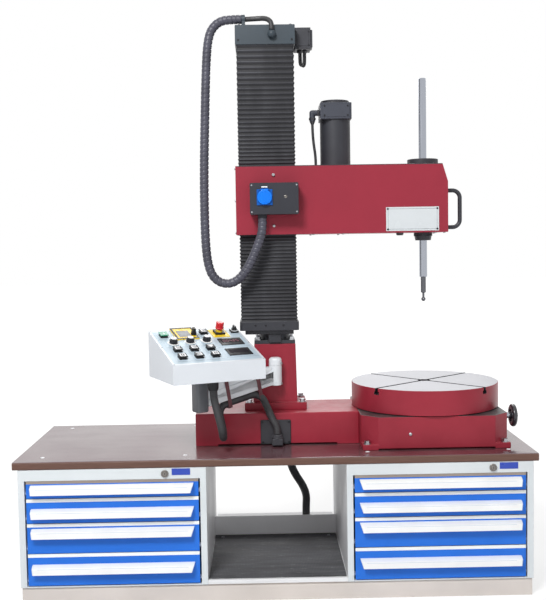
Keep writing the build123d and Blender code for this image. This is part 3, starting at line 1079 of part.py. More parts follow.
# Console: a hollow desk shaped box, with the fixed parts of its controls and the hose's gland below
with BuildPart() as console_box:
    half = CONSOLE_DEPTH / 2
    slope = (CONSOLE_REAR - CONSOLE_FRONT) / CONSOLE_DEPTH
    roof = CONSOLE_WALL * hypot(1, slope)
    with BuildSketch(CONSOLE_SIDE):
        with BuildLine():
            Polyline((-half, 0), (half, 0), (half, CONSOLE_REAR), (-half, CONSOLE_FRONT), close=True)
        make_face()
    extrude(amount=CONSOLE_WIDTH / 2, both=True)
    with BuildSketch(CONSOLE_SIDE):
        with BuildLine():
            inset = half - CONSOLE_WALL
            Polyline((-inset, CONSOLE_WALL), (inset, CONSOLE_WALL),
                     (inset, CONSOLE_REAR - roof - slope * CONSOLE_WALL),
                     (-inset, CONSOLE_FRONT - roof + slope * CONSOLE_WALL), close=True)
        make_face()
    extrude(amount=CONSOLE_WIDTH / 2 - CONSOLE_WALL, both=True, mode=Mode.SUBTRACT)
    cap_room = BUTTON_CAP + 2 * RUN_GAP
    for spot in BUTTON_SPOTS:
        on_panel(spot, 0, BUTTON_BEZEL_HEIGHT, (BUTTON_BEZEL, BUTTON_BEZEL))
        on_panel(spot, 0, BUTTON_BEZEL_HEIGHT, (cap_room, cap_room), Mode.SUBTRACT)
        on_panel(spot, -2 * CONSOLE_WALL, 0, BUTTON_STEM + SHAFT_GAP, Mode.SUBTRACT)
    for spot in KNOB_SPOTS:
        on_panel(spot, 0, DIAL_HEIGHT, DIAL_RADIUS)
        on_panel(spot, -2 * CONSOLE_WALL, DIAL_HEIGHT, KNOB_STEM + SHAFT_GAP, Mode.SUBTRACT)
    on_panel(ESTOP_SPOT, 0, ESTOP_PLATE_HEIGHT, ESTOP_PLATE)
    on_panel(ESTOP_SPOT, 0, ESTOP_BASE_HEIGHT, ESTOP_BASE)
    on_panel(ESTOP_SPOT, 0, ESTOP_BASE_HEIGHT + ESTOP_COLLAR_HEIGHT, ESTOP_COLLAR)
    on_panel(ESTOP_SPOT, -2 * CONSOLE_WALL, ESTOP_BASE_HEIGHT + ESTOP_COLLAR_HEIGHT, ESTOP_STEM + SHAFT_GAP,
             Mode.SUBTRACT)
    on_panel(SELECTOR_SPOT, 0, SELECTOR_BASE_HEIGHT, (SELECTOR_BASE, SELECTOR_BASE))
    on_panel(SELECTOR_SPOT, -2 * CONSOLE_WALL, SELECTOR_BASE_HEIGHT, KNOB_STEM + SHAFT_GAP, Mode.SUBTRACT)
    on_panel(SWITCH_PLATE_SPOT, 0, SWITCH_PLATE_HEIGHT, SWITCH_PLATE)
    on_panel(SWITCH_SPOT, -2 * CONSOLE_WALL, SWITCH_PLATE_HEIGHT, KNOB_STEM + SHAFT_GAP, Mode.SUBTRACT)
    for spot in DISPLAY_SPOTS:
        on_panel(spot, 0, DISPLAY_HEIGHT, DISPLAY_SIZE)
    upright(POST_AXIS_X, POST_AXIS_Y, (CONSOLE_Z - STAND_SPIGOT_DEPTH, CONSOLE_Z), STAND_SPIGOT)
    under = CONSOLE_ORIGIN + CONSOLE_RIGHT * CONSOLE_GLAND_RIGHT - CONSOLE_BACK * CONSOLE_GLAND_FRONT
    upright(under.X, under.Y, (CONSOLE_Z - ENTRY_LENGTH, CONSOLE_Z), SUPPLY_RADIUS + GLAND_WALL)
console_box.part.label = "console_box"
export_step(console_box.part, "parts/console_box.step")

for number, spot in enumerate(BUTTON_SPOTS, 1):
    with BuildPart() as push_button:
        on_panel(spot, BUTTON_LIFT, BUTTON_LIFT + BUTTON_CAP_HEIGHT, (BUTTON_CAP, BUTTON_CAP))
        on_panel(spot, -STEM_DEPTH, BUTTON_LIFT, BUTTON_STEM)
    push_button.part.label = f"push_button_{number}"
    export_step(push_button.part, f"parts/push_button_{number}.step")

for number, spot in enumerate(KNOB_SPOTS, 1):
    with BuildPart() as speed_knob:
        low = DIAL_HEIGHT + RUN_GAP
        on_panel(spot, low, low + KNOB_HEIGHT, KNOB_RADIUS)
        on_panel(spot, -STEM_DEPTH, low, KNOB_STEM)
    speed_knob.part.label = f"speed_knob_{number}"
    export_step(speed_knob.part, f"parts/speed_knob_{number}.step")

with BuildPart() as estop_button:
    head_low = ESTOP_BASE_HEIGHT + ESTOP_COLLAR_HEIGHT + ESTOP_LIFT
    on_panel(ESTOP_SPOT, head_low, head_low + ESTOP_HEAD_HEIGHT, ESTOP_HEAD)
    fillet(estop_button.edges().filter_by(GeomType.CIRCLE).sort_by(Axis.Z)[-1], ESTOP_HEAD / 5)
    on_panel(ESTOP_SPOT, -STEM_DEPTH, head_low, ESTOP_STEM)
estop_button.part.label = "estop_button"
export_step(estop_button.part, "parts/estop_button.step")


def turn_switch(spot, low, radius, height, grip):
    """A round base with a bar grip on top and a stem through the panel."""
    width, length, rise = grip
    with BuildPart() as piece:
        on_panel(spot, low, low + height, radius)
        on_panel(spot, low + height, low + height + rise, (width, length))
        on_panel(spot, -STEM_DEPTH, low, KNOB_STEM)
    return piece


selector_switch = turn_switch(SELECTOR_SPOT, SELECTOR_BASE_HEIGHT + RUN_GAP, SELECTOR_RADIUS, SELECTOR_HEIGHT,
                              SELECTOR_GRIP)
selector_switch.part.label = "selector_switch"
export_step(selector_switch.part, "parts/selector_switch.step")
main_switch = turn_switch(SWITCH_SPOT, SWITCH_PLATE_HEIGHT + RUN_GAP, SWITCH_RADIUS, SWITCH_HEIGHT,
                          SWITCH_GRIP)
main_switch.part.label = "main_switch"
export_step(main_switch.part, "parts/main_switch.step")

# Bolts with washers: pedestal flange, feet of the table's base and swivel plate
BOLT_GROUPS = (
    (PEDESTAL_X, FLANGE_WIDTH - 2 * FLANGE_BOLT_INSET, FLANGE_DEPTH - 2 * FLANGE_BOLT_INSET, FLANGE_TOP),
    (TABLE_X, BASE_WIDTH - 2 * FOOT_BOLT_INSET, BASE_WIDTH - 2 * FOOT_BOLT_INSET, TOP_Z + BASE_FOOT),
    (PEDESTAL_X, SWIVEL_WIDTH - 2 * SWIVEL_BOLT_INSET, SWIVEL_DEPTH - 2 * SWIVEL_BOLT_INSET, SWIVEL_TOP))
with BuildPart() as hex_bolts:
    for x, width, depth, z in BOLT_GROUPS:
        with BuildSketch(Plane.XY.offset(z)):
            with Locations((x, MACHINE_Y)):
                with GridLocations(width, depth, 2, 2):
                    Circle(WASHER_RADIUS)
        extrude(amount=WASHER_THICK)
        with BuildSketch(Plane.XY.offset(z + WASHER_THICK)):
            with Locations((x, MACHINE_Y)):
                with GridLocations(width, depth, 2, 2):
                    RegularPolygon(BOLT_RADIUS, 6)
        extrude(amount=BOLT_HEAD)
hex_bolts.part.label = "hex_bolts"
export_step(hex_bolts.part, "parts/hex_bolts.step")

# Conduit hose from the head down to the socket box, with a rib at each step of its wrap
with BuildPart() as conduit_hose:
    with BuildLine() as conduit_path:
        FilletPolyline(*CONDUIT_POINTS, radius=hose_radii(CONDUIT_POINTS))
    route = conduit_path.wire()
    straight = 2 * CONDUIT_RADIUS
    valley = CONDUIT_RADIUS - CONDUIT_RIB
    stations = [(0.0, valley)]
    for rib in range(int((route.length - 2 * straight) / CONDUIT_PITCH)):
        start = straight + rib * CONDUIT_PITCH
        for share, radius in ((0.0, valley), (0.2, CONDUIT_RADIUS), (0.7, CONDUIT_RADIUS), (0.9, valley)):
            stations.append((start + share * CONDUIT_PITCH, radius))
    stations.append((route.length, valley))
    for place, radius in stations:
        share = place / route.length
        with BuildSketch(Plane(origin=route @ share, x_dir=(0, 1, 0), z_dir=route % share)):
            Circle(radius)
    loft(ruled=True)
    with BuildSketch(Plane(origin=route @ 0, x_dir=(0, 1, 0), z_dir=route % 0)):
        Circle(CONDUIT_BORE)
    sweep(path=route, mode=Mode.SUBTRACT)
conduit_hose.part.label = "conduit_hose"
export_step(conduit_hose.part, "parts/conduit_hose.step")
report_hose("conduit_hose", route, CONDUIT_POINTS, CONDUIT_RADIUS, conduit_hose.part)


def plain_hose(points, radius):
    """A hose as a tube along straight runs and tangent arcs."""
    with BuildPart() as piece:
        with BuildLine() as path:
            FilletPolyline(*points, radius=hose_radii(points))
        with BuildSketch(Plane(origin=path.line @ 0, z_dir=path.line % 0)):
            Circle(radius)
        sweep()
    return piece, path.wire()


console_hose, console_route = plain_hose(CONSOLE_HOSE_POINTS, SUPPLY_RADIUS)
console_hose.part.label = "console_hose"
export_step(console_hose.part, "parts/console_hose.step")
report_hose("console_hose", console_route, CONSOLE_HOSE_POINTS, SUPPLY_RADIUS, console_hose.part)

bench_hose, bench_route = plain_hose(BENCH_HOSE_POINTS, BENCH_HOSE_RADIUS)
bench_hose.part.label = "bench_hose"
export_step(bench_hose.part, "parts/bench_hose.step")
report_hose("bench_hose", bench_route, BENCH_HOSE_POINTS, BENCH_HOSE_RADIUS, bench_hose.part)
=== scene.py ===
"""Finishes, folds, hoses and small fittings of the tool grinding machine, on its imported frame."""
import json
import math

import bmesh
import bpy
from bpy.props import FloatProperty, FloatVectorProperty, IntProperty, PointerProperty
from bpy.types import Operator, Panel, PropertyGroup
from mathutils import Matrix, Vector

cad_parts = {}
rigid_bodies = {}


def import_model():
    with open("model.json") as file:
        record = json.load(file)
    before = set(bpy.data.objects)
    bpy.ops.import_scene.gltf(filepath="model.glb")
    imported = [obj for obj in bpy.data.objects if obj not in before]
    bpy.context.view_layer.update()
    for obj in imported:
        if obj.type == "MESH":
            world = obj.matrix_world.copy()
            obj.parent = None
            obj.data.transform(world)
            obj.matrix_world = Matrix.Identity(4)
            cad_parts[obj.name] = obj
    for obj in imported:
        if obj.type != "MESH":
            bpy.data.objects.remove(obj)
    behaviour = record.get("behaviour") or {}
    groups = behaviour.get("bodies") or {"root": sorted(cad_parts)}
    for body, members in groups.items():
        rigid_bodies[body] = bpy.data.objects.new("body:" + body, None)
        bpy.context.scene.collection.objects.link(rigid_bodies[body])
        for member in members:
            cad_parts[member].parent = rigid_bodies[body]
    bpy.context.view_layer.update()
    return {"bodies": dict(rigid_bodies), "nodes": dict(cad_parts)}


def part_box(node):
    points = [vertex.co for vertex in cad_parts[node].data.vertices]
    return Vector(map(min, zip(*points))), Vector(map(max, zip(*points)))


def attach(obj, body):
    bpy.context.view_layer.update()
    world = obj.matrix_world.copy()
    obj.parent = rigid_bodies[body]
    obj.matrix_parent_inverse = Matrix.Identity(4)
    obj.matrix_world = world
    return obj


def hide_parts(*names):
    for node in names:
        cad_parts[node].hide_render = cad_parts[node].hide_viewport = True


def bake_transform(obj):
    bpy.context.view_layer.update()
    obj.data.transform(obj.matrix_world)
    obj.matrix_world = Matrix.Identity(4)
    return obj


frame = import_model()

bl_info = {
    "name": "Tool grinding machine",
    "version": (1, 0, 0),
    "blender": (4, 5, 0),
    "location": "View3D > Sidebar > Grinder",
    "description": "Dresses the packed frame of a tool grinding machine with its finishes and fittings",
    "category": "Object",
}

BODY_OF = {}
for body_name, empty in frame["bodies"].items():
    for node_name, node_object in frame["nodes"].items():
        if node_object.parent is empty:
            BODY_OF[node_name] = body_name


def mm(x, y, z):
    """A point given in millimetres."""
    return Vector((x, y, z)) / 1000


def linear(red, green, blue):
    """A colour read off a screen, as the shader wants it."""
    values = []
    for value in (red, green, blue):
        share = value / 255
        values.append(share / 12.92 if share <= 0.04045 else ((share + 0.055) / 1.055) ** 2.4)
    return tuple(values)


# Frame of the console's sloped panel: right, up the slope, out of the panel
CONSOLE_YAW = math.radians(24.2)
PANEL_RUN = 0.296
PANEL_RISE = 0.104
PANEL_RIGHT = Vector((math.cos(CONSOLE_YAW), math.sin(CONSOLE_YAW), 0))
PANEL_BACK = Vector((-math.sin(CONSOLE_YAW), math.cos(CONSOLE_YAW), 0))
PANEL_UP = (PANEL_BACK * PANEL_RUN + Vector((0, 0, PANEL_RISE))).normalized()
PANEL_OUT = PANEL_RIGHT.cross(PANEL_UP)
PANEL = Matrix((PANEL_RIGHT, PANEL_UP, PANEL_OUT)).transposed().to_4x4()
PANEL.translation = mm(-372.99, -411, 922)

# Controls on the panel, in millimetres to the right and up the slope
BUTTON_SPOTS = ((44, 256), (213, 264), (57, 120), (123, 120), (190, 120), (55, 57), (121, 57), (187, 57))
KNOB_SPOTS = ((62, 186), (131, 188), (200, 190))
DISPLAY_SPOTS = ((296, 172), (293, 79))
STOP_SPOT = (277, 256)
SELECTOR_SPOT = (345, 264)
SWITCH_PLATE_SPOT = (134, 266)

# Places that several pieces share, in millimetres
SPINDLE_X, MACHINE_Y = 630, 71
MOTOR_X, ELBOW_X, TERMINAL_Z = 269, 176, 1897
ARM_FRONT, ARM_FLOOR = -59, 1399
PLATE_X, PLATE_Z = 566, 1453.5
OUTLET_X = -27
SWING_X, SWING_Y = 6, -26
ARM_RUN = Vector((-296, -193, -66))
CABINET_LEFTS = (-980, 267)
BACK_PANEL_X, BACK_PANEL_Z = 356.5, 294.5
DRAWER_FRONT = -317

# Roundings of edges, in metres
PRINT_EDGE = 0.00015
HAIR_EDGE = 0.0002
TRIM_EDGE = 0.0003
SMALL_EDGE = 0.0004
CAP_EDGE = 0.0005
PLASTIC_EDGE = 0.0006
SOFT_EDGE = 0.0008
FINE_EDGE = 0.0012
METAL_EDGE = 0.0015
COVER_EDGE = 0.004

# Share of an axis at which a face counts as square to it
SQUARE = 0.9

# Directions that screws look out
FRONT, BACK, LEFT, DOWN, UP = (0, -1, 0), (0, 1, 0), (-1, 0, 0), (0, 0, -1), (0, 0, 1)

# Routes of the hoses, in millimetres, after the CAD source and set to the photograph
CONDUIT_ROUTE = (
    (-107, -8, 2262), (-145, -8, 2262), (-194, -11, 2256), (-230, -16, 2222), (-244, -21, 2170),
    (-250, -27, 2100), (-255, -36, 1995), (-259, -46, 1877), (-263, -56, 1760), (-266, -64, 1645),
    (-267, -72, 1530), (-266, -79, 1425), (-263, -84, 1345), (-256, -88, 1285), (-240, -90.5, 1237),
    (-206, -92.5, 1208), (-162, -93.5, 1206), (-125, -94, 1231), (-98, -94, 1268), (-76, -94, 1310),
    (-58, -94, 1354), (-43, -94, 1395), (-37, -94, 1430), (-37, -94, 1464))
CONSOLE_HOSE_ROUTE = (
    (-236, -265, 833), (-236, -265, 800), (-232, -264, 762), (-222, -263, 720), (-211.5, -262, 678),
    (-205, -257, 642), (-203, -232, 614), (-202, -199, 610), (-205, -172, 634), (-213, -167, 672),
    (-219, -168, 706), (-206, -164, 731), (-178, -146, 738.8), (-152, -129, 744.6), (-132, -115.95, 749.05))
BED_HOSE_ROUTE = (
    (-132, -115.95, 749.05), (-112, -102.9, 753.5), (-84, -84.7, 759.7), (-62.2, -77.2, 753.2),
    (-44.1, -77, 737.4), (-34.5, -84.2, 716.6), (-21, -98.5, 686), (-8, -106, 655), (9, -108, 629),
    (9, -108, 599.5))
BENCH_HOSE_ROUTE = (
    (62, 165, 501), (62, 165, 458), (70, 180, 405), (92, 212, 352), (122, 250, 300), (140, 274, 248),
    (137, 281, 194), (137, 281, 152))
PILOT_ROUTE = (
    (-93, -8, 2262), (-45, -10, 2264), (-10, -24, 2262), (9, -37, 2247), (12, -43, 2230), (12, -43, 2213))
MOTOR_LEAD_ROUTE = (
    (176, 71, 1862), (176, 71, 1822.5), (180, 71, 1769.9), (188, 71, 1717.2), (188, 71, 1674))


class GrinderColours(PropertyGroup):
    """Colours of the paints, films and plastics."""

    casting_red: FloatVectorProperty(
        name="Casting red", description="Enamel on the bed, the table, its base and the pedestal",
        subtype="COLOR", size=3, min=0, max=1, default=linear(149, 42, 57))
    sheet_red: FloatVectorProperty(
        name="Sheet red", description="Paint of the arm's folded housing",
        subtype="COLOR", size=3, min=0, max=1, default=linear(147, 43, 59))
    drawer_blue: FloatVectorProperty(
        name="Drawer blue", description="Powder coat of the drawer fronts",
        subtype="COLOR", size=3, min=0, max=1, default=linear(36, 113, 218))
    carcass_grey: FloatVectorProperty(
        name="Carcass grey", description="Powder coat of the cabinets",
        subtype="COLOR", size=3, min=0, max=1, default=linear(218, 224, 227))
    worktop_brown: FloatVectorProperty(
        name="Worktop film", description="Phenolic film on the worktop's faces",
        subtype="COLOR", size=3, min=0, max=1, default=linear(91, 58, 65))
    edge_brown: FloatVectorProperty(
        name="Worktop edge", description="Stained plies along the worktop's edges",
        subtype="COLOR", size=3, min=0, max=1, default=linear(106, 74, 62))
    machine_black: FloatVectorProperty(
        name="Machine black", description="Paint of the column's foot, the spindle's sleeve and the motors",
        subtype="COLOR", size=3, min=0, max=1, default=linear(51, 52, 58))
    head_grey: FloatVectorProperty(
        name="Head grey", description="Paint of the column's head",
        subtype="COLOR", size=3, min=0, max=1, default=linear(52, 62, 70))
    bellows_black: FloatVectorProperty(
        name="Bellows black", description="Coated cloth of the bellows",
        subtype="COLOR", size=3, min=0, max=1, default=linear(40, 40, 44))
    console_white: FloatVectorProperty(
        name="Console white", description="Paint of the control console",
        subtype="COLOR", size=3, min=0, max=1, default=linear(222, 227, 233))
    film_blue: FloatVectorProperty(
        name="Panel film", description="Printed film on the console's sloped panel",
        subtype="COLOR", size=3, min=0, max=1, default=linear(190, 208, 220))
    lid_blue: FloatVectorProperty(
        name="Outlet blue", description="Plastic of the outlet's frame and lid",
        subtype="COLOR", size=3, min=0, max=1, default=linear(12, 118, 230))


class GrinderSizes(PropertyGroup):
    """Sizes of the forms that only the dressed model has."""

    casting_round: FloatProperty(
        name="Casting edge", description="Rounding of the castings' edges",
        unit="LENGTH", min=0.0002, max=0.004, default=0.0025)
    sheet_round: FloatProperty(
        name="Sheet edge", description="Rounding of folded sheet metal",
        unit="LENGTH", min=0.0002, max=0.002, default=0.0012)
    upper_folds: IntProperty(
        name="Upper folds", description="Folds of the bellows above the arm", min=8, max=60, default=26)
    lower_folds: IntProperty(
        name="Lower folds", description="Folds of the bellows below the arm", min=8, max=60, default=24)
    fold_depth: FloatProperty(
        name="Fold depth", description="How far each fold of the bellows runs in",
        unit="LENGTH", min=0.002, max=0.012, default=0.0038)
    fold_crowding: FloatProperty(
        name="Fold crowding",
        description="How much closer the folds lie at the lower end of the upper bellows",
        subtype="FACTOR", min=0, max=0.6, default=0.24)
    wrap_pitch: FloatProperty(
        name="Wrap pitch", description="Advance of the conduit's spiral wrap in one turn",
        unit="LENGTH", min=0.008, max=0.04, default=0.018)
    wrap_step: FloatProperty(
        name="Wrap step", description="Depth of the gap between turns of the spiral wrap",
        unit="LENGTH", min=0.0005, max=0.003, default=0.0026)
    screw_head: FloatProperty(
        name="Screw head", description="Radius of the common socket head screws",
        unit="LENGTH", min=0.002, max=0.01, default=0.0052)


# Node shorthand

def put(tree, kind, values=(), **settings):
    """Adds a node, sets it up and fills or links its sockets."""
    made = tree.nodes.new(kind)
    for key, value in settings.items():
        setattr(made, key, value)
    pairs = values.items() if isinstance(values, dict) else enumerate(values)
    for key, value in pairs:
        if isinstance(value, bpy.types.NodeSocket):
            tree.links.new(value, made.inputs[key])
        elif value is not None:
            made.inputs[key].default_value = value
    return made


def sums(tree, operation, *values):
    """One Math node."""
    return put(tree, "ShaderNodeMath", values, operation=operation).outputs[0]


def plus(tree, first, second):
    """A sum."""
    return sums(tree, "ADD", first, second)


def less(tree, first, second):
    """A difference."""
    return sums(tree, "SUBTRACT", first, second)


def times(tree, first, second):
    """A product."""
    return sums(tree, "MULTIPLY", first, second)


def vectors(tree, operation, first, second=None):
    """One Vector Math node: its vector, or its number where it gives one."""
    made = put(tree, "ShaderNodeVectorMath", (first, second), operation=operation).outputs
    return made["Value" if operation in ("DOT_PRODUCT", "LENGTH") else "Vector"]


def axes(tree, vector):
    """The X, Y and Z of a vector."""
    return put(tree, "ShaderNodeSeparateXYZ", (vector,)).outputs


def own_place(tree):
    """Object coordinates, which stay with the piece."""
    return put(tree, "ShaderNodeTexCoord").outputs["Object"]


def cloud(tree, vector, scale, detail):
    """Noise over a place."""
    values = {"Vector": vector, "Scale": scale, "Detail": detail}
    return put(tree, "ShaderNodeTexNoise", values).outputs["Fac"]


def ranged(tree, value, low, high, to_low=0.0, to_high=1.0):
    """A value taken smoothly from one range to another."""
    names = {"Value": value, "From Min": low, "From Max": high, "To Min": to_low, "To Max": to_high}
    return put(tree, "ShaderNodeMapRange", names, interpolation_type="SMOOTHSTEP").outputs[0]


def mixed(tree, share, first, second):
    """A blend of two colours."""
    first = (*first, 1) if isinstance(first, tuple) and len(first) == 3 else first
    second = (*second, 1) if isinstance(second, tuple) and len(second) == 3 else second
    return put(tree, "ShaderNodeMix", {0: share, 6: first, 7: second}, data_type="RGBA").outputs[2]


def shaded(colour, share):
    """A colour made darker or lighter."""
    return tuple(min(1.0, part * share) for part in colour)


def seen_ray(tree):
    """One for rays that show the background: straight, mirrored or through glass."""
    path = put(tree, "ShaderNodeLightPath").outputs
    mirrored = sums(tree, "MAXIMUM", path["Is Camera Ray"], path["Is Glossy Ray"])
    return sums(tree, "MAXIMUM", mirrored, path["Is Transmission Ray"])


# Shared surface effects

def effect(name, inputs, outputs):
    """An empty shader node group with its sockets."""
    tree = bpy.data.node_groups.new(name, "ShaderNodeTree")
    for title, value in inputs:
        kind = "NodeSocketVector" if isinstance(value, tuple) else "NodeSocketFloat"
        tree.interface.new_socket(name=title, in_out="INPUT", socket_type=kind).default_value = value
    for title in outputs:
        tree.interface.new_socket(name=title, in_out="OUTPUT", socket_type="NodeSocketFloat")
    return tree, tree.nodes.new("NodeGroupInput").outputs, tree.nodes.new("NodeGroupOutput").inputs


def build_effects():
    """The surface effects that several finishes share."""
    even = (1.0, 1.0, 1.0)
    tree, given, result = effect("mottling", (("Scale", 8.0), ("Stretch", even)), ("Shade",))
    pulled = vectors(tree, "MULTIPLY", own_place(tree), given["Stretch"])
    tree.links.new(ranged(tree, cloud(tree, pulled, given["Scale"], 4.0), 0.3, 0.7), result["Shade"])

    tree, given, result = effect("grain", (("Scale", 900.0), ("Stretch", even)), ("Height", "Speck"))
    pulled = vectors(tree, "MULTIPLY", own_place(tree), given["Stretch"])
    fine = cloud(tree, pulled, given["Scale"], 2.0)
    tree.links.new(fine, result["Height"])
    tree.links.new(ranged(tree, fine, 0.62, 0.72), result["Speck"])

    sockets = (("Radius", 0.002), ("Breakup", 60.0), ("Amount", 0.5))
    tree, given, result = effect("edge wear", sockets, ("Mask",))
    rounded = put(tree, "ShaderNodeBevel", {"Radius": given["Radius"]}, samples=4).outputs[0]
    flat = put(tree, "ShaderNodeNewGeometry").outputs["Normal"]
    edge = ranged(tree, vectors(tree, "DOT_PRODUCT", rounded, flat), 0.985, 0.86)
    chips = cloud(tree, own_place(tree), given["Breakup"], 5.0)
    chipped = times(tree, less(tree, chips, less(tree, 1.0, given["Amount"])), 9.0)
    clamped = put(tree, "ShaderNodeClamp", (chipped,)).outputs[0]
    tree.links.new(times(tree, edge, clamped), result["Mask"])

    tree, given, result = effect("settled dust", (("Amount", 0.2), ("Scale", 14.0)), ("Mask",))
    up = axes(tree, put(tree, "ShaderNodeNewGeometry").outputs["Normal"])["Z"]
    drift = cloud(tree, own_place(tree), given["Scale"], 6.0)
    lying = times(tree, ranged(tree, up, 0.4, 1.0), ranged(tree, drift, 0.3, 0.75))
    tree.links.new(times(tree, lying, given["Amount"]), result["Mask"])


def use(tree, name, **values):
    """Places a shared effect in a material."""
    titled = {key.capitalize(): value for key, value in values.items()}
    return put(tree, "ShaderNodeGroup", titled, node_tree=bpy.data.node_groups[name]).outputs


def mottled(tree, scale, stretch=None):
    """Slow changes of tone."""
    return use(tree, "mottling", scale=scale, stretch=stretch)["Shade"]


def grained(tree, scale, stretch=None):
    """Fine grain, as a height and as specks."""
    return use(tree, "grain", scale=scale, stretch=stretch)


def worn(tree, base, radius, amount, bare):
    """A colour that is rubbed through along the edges."""
    return mixed(tree, use(tree, "edge wear", radius=radius, amount=amount)["Mask"], base, bare)


DUST = linear(196, 190, 184)


def dusted(tree, base, amount, scale=None):
    """A colour under settled dust."""
    return mixed(tree, use(tree, "settled dust", amount=amount, scale=scale)["Mask"], base, DUST)


# Finishes

def blank(name):
    """The node tree and the Principled shader of a new material."""
    material = bpy.data.materials.new(name)
    material.use_nodes = True
    return material.node_tree, material.node_tree.nodes["Principled BSDF"]


def coat(name):
    """A finish that was mixed before."""
    return bpy.data.materials[name]


def plain(shader, values):
    """Sets the shader's sockets that are the same all over the surface."""
    for socket, value in values.items():
        shader.inputs[socket].default_value = value


def finished(tree, shader, base, rough, height, strength, distance):
    """Links a colour, a roughness and a height to the shader."""
    bump = put(tree, "ShaderNodeBump", {"Strength": strength, "Distance": distance, "Height": height})
    for socket, value in (("Base Color", base), ("Roughness", rough), ("Normal", bump.outputs[0])):
        tree.links.new(value, shader.inputs[socket])


def enamel(name, colour, rough, spread, scale, peel, wear=None, dust=0.0, metal=0.0, coating=0.0, shine=0.5):
    """A paint or plastic with an uneven tone, given by its spread and scale.

    peel is the scale and the height of the surface grain. wear is the radius and the amount of the worn
    edges, and the colour under them.
    """
    colour = tuple(colour)
    tree, shader = blank(name)
    tone = mottled(tree, scale)
    grain = grained(tree, peel[0])
    base = mixed(tree, tone, shaded(colour, 1 - spread), shaded(colour, 1 + spread))
    base = mixed(tree, times(tree, grain["Speck"], 0.3), base, shaded(colour, 0.8))
    if wear:
        base = worn(tree, base, *wear)
    if dust:
        base = dusted(tree, base, dust)
    plain(shader, {"Metallic": metal, "Coat Weight": coating, "Specular IOR Level": shine})
    gloss = ranged(tree, tone, 0.0, 1.0, rough + 0.06, rough - 0.05)
    finished(tree, shader, base, gloss, grain["Height"], peel[1], 0.0004)


def steel(name, colour, rough, scale, stretch, rings=None, metal=1.0):
    """Bare steel with the marks of its last cut: along an axis, or in rings about a point."""
    ring_rate = 260.0
    tree, shader = blank(name)
    tone = mottled(tree, 6.0)
    cut = grained(tree, scale, stretch)["Height"]
    if rings:
        flat = vectors(tree, "MULTIPLY", vectors(tree, "SUBTRACT", own_place(tree), rings), (1, 1, 0))
        values = {"W": times(tree, vectors(tree, "LENGTH", flat), ring_rate), "Detail": 3.0}
        marks = put(tree, "ShaderNodeTexNoise", values, noise_dimensions="1D").outputs["Fac"]
        cut = plus(tree, times(tree, marks, 0.8), times(tree, cut, 0.2))
    base = mixed(tree, ranged(tree, cut, 0.2, 0.8), shaded(colour, 0.94), shaded(colour, 1.04))
    base = mixed(tree, tone, base, shaded(colour, 0.94))
    plain(shader, {"Metallic": metal})
    gloss = ranged(tree, cut, 0.3, 0.7, rough - 0.05, rough + 0.08)
    finished(tree, shader, base, gloss, cut, 0.02, 0.0002)


def worktop_film(colour):
    """Film on the worktop's faces."""
    tree, shader = blank("worktop_film")
    tone = mottled(tree, 3.0, (0.6, 2.5, 1.0))
    grain = grained(tree, 420.0, (0.25, 1.0, 1.0))
    base = mixed(tree, tone, shaded(colour, 0.88), shaded(colour, 1.1))
    base = mixed(tree, times(tree, grain["Speck"], 0.5), base, shaded(colour, 0.62))
    base = worn(tree, base, 0.003, 0.42, linear(150, 124, 104))
    base = dusted(tree, base, 0.16, 5.0)
    plain(shader, {"Specular IOR Level": 1.0, "Coat Weight": 0.4, "Coat Roughness": 0.15})
    gloss = ranged(tree, tone, 0.0, 1.0, 0.26, 0.18)
    finished(tree, shader, base, gloss, grain["Height"], 0.05, 0.0003)


def worktop_edge(colour):
    """Stained plies along the worktop's edges."""
    ply_rate, ply_waver = 1380.0, 1.6
    tree, shader = blank("worktop_edge")
    place_on = own_place(tree)
    waver = cloud(tree, place_on, 9.0, 3.0)
    level = plus(tree, times(tree, axes(tree, place_on)["Z"], ply_rate), times(tree, waver, ply_waver))
    ply = ranged(tree, sums(tree, "SINE", level), -0.5, 0.6)
    fibre = grained(tree, 260.0, (0.05, 0.05, 1.0))["Height"]
    base = mixed(tree, ply, shaded(colour, 0.66), shaded(colour, 1.12))
    base = mixed(tree, ranged(tree, fibre, 0.35, 0.7), base, shaded(colour, 0.78))
    base = worn(tree, base, 0.003, 0.45, linear(160, 130, 104))
    gloss = ranged(tree, fibre, 0.3, 0.7, 0.5, 0.62)
    finished(tree, shader, base, gloss, fibre, 0.25, 0.0006)


def bellows_cloth(colour):
    """Coated cloth with a painted highlight along the outer folds and painted shade deep in the folds."""
    tree, shader = blank("bellows_cloth")
    depth = put(tree, "ShaderNodeAttribute", attribute_name="fold").outputs["Fac"]
    tone = mottled(tree, 12.0, (1.0, 1.0, 0.3))
    weave = grained(tree, 1500.0)["Height"]
    base = mixed(tree, tone, shaded(colour, 0.8), shaded(colour, 1.25))
    # Painted highlight: the outer folds are lightened
    crest_highlight = times(tree, ranged(tree, depth, 0.34, 0.0), ranged(tree, tone, 0.0, 1.0, 0.45, 0.9))
    base = mixed(tree, crest_highlight, base, linear(73, 74, 80))
    # Painted shade: the deepest folds are darkened
    base = mixed(tree, ranged(tree, depth, 0.6, 1.0), base, shaded(colour, 0.4))
    plain(shader, {"Specular IOR Level": 0.3})
    gloss = ranged(tree, tone, 0.0, 1.0, 0.62, 0.5)
    finished(tree, shader, base, gloss, weave, 0.2, 0.0004)


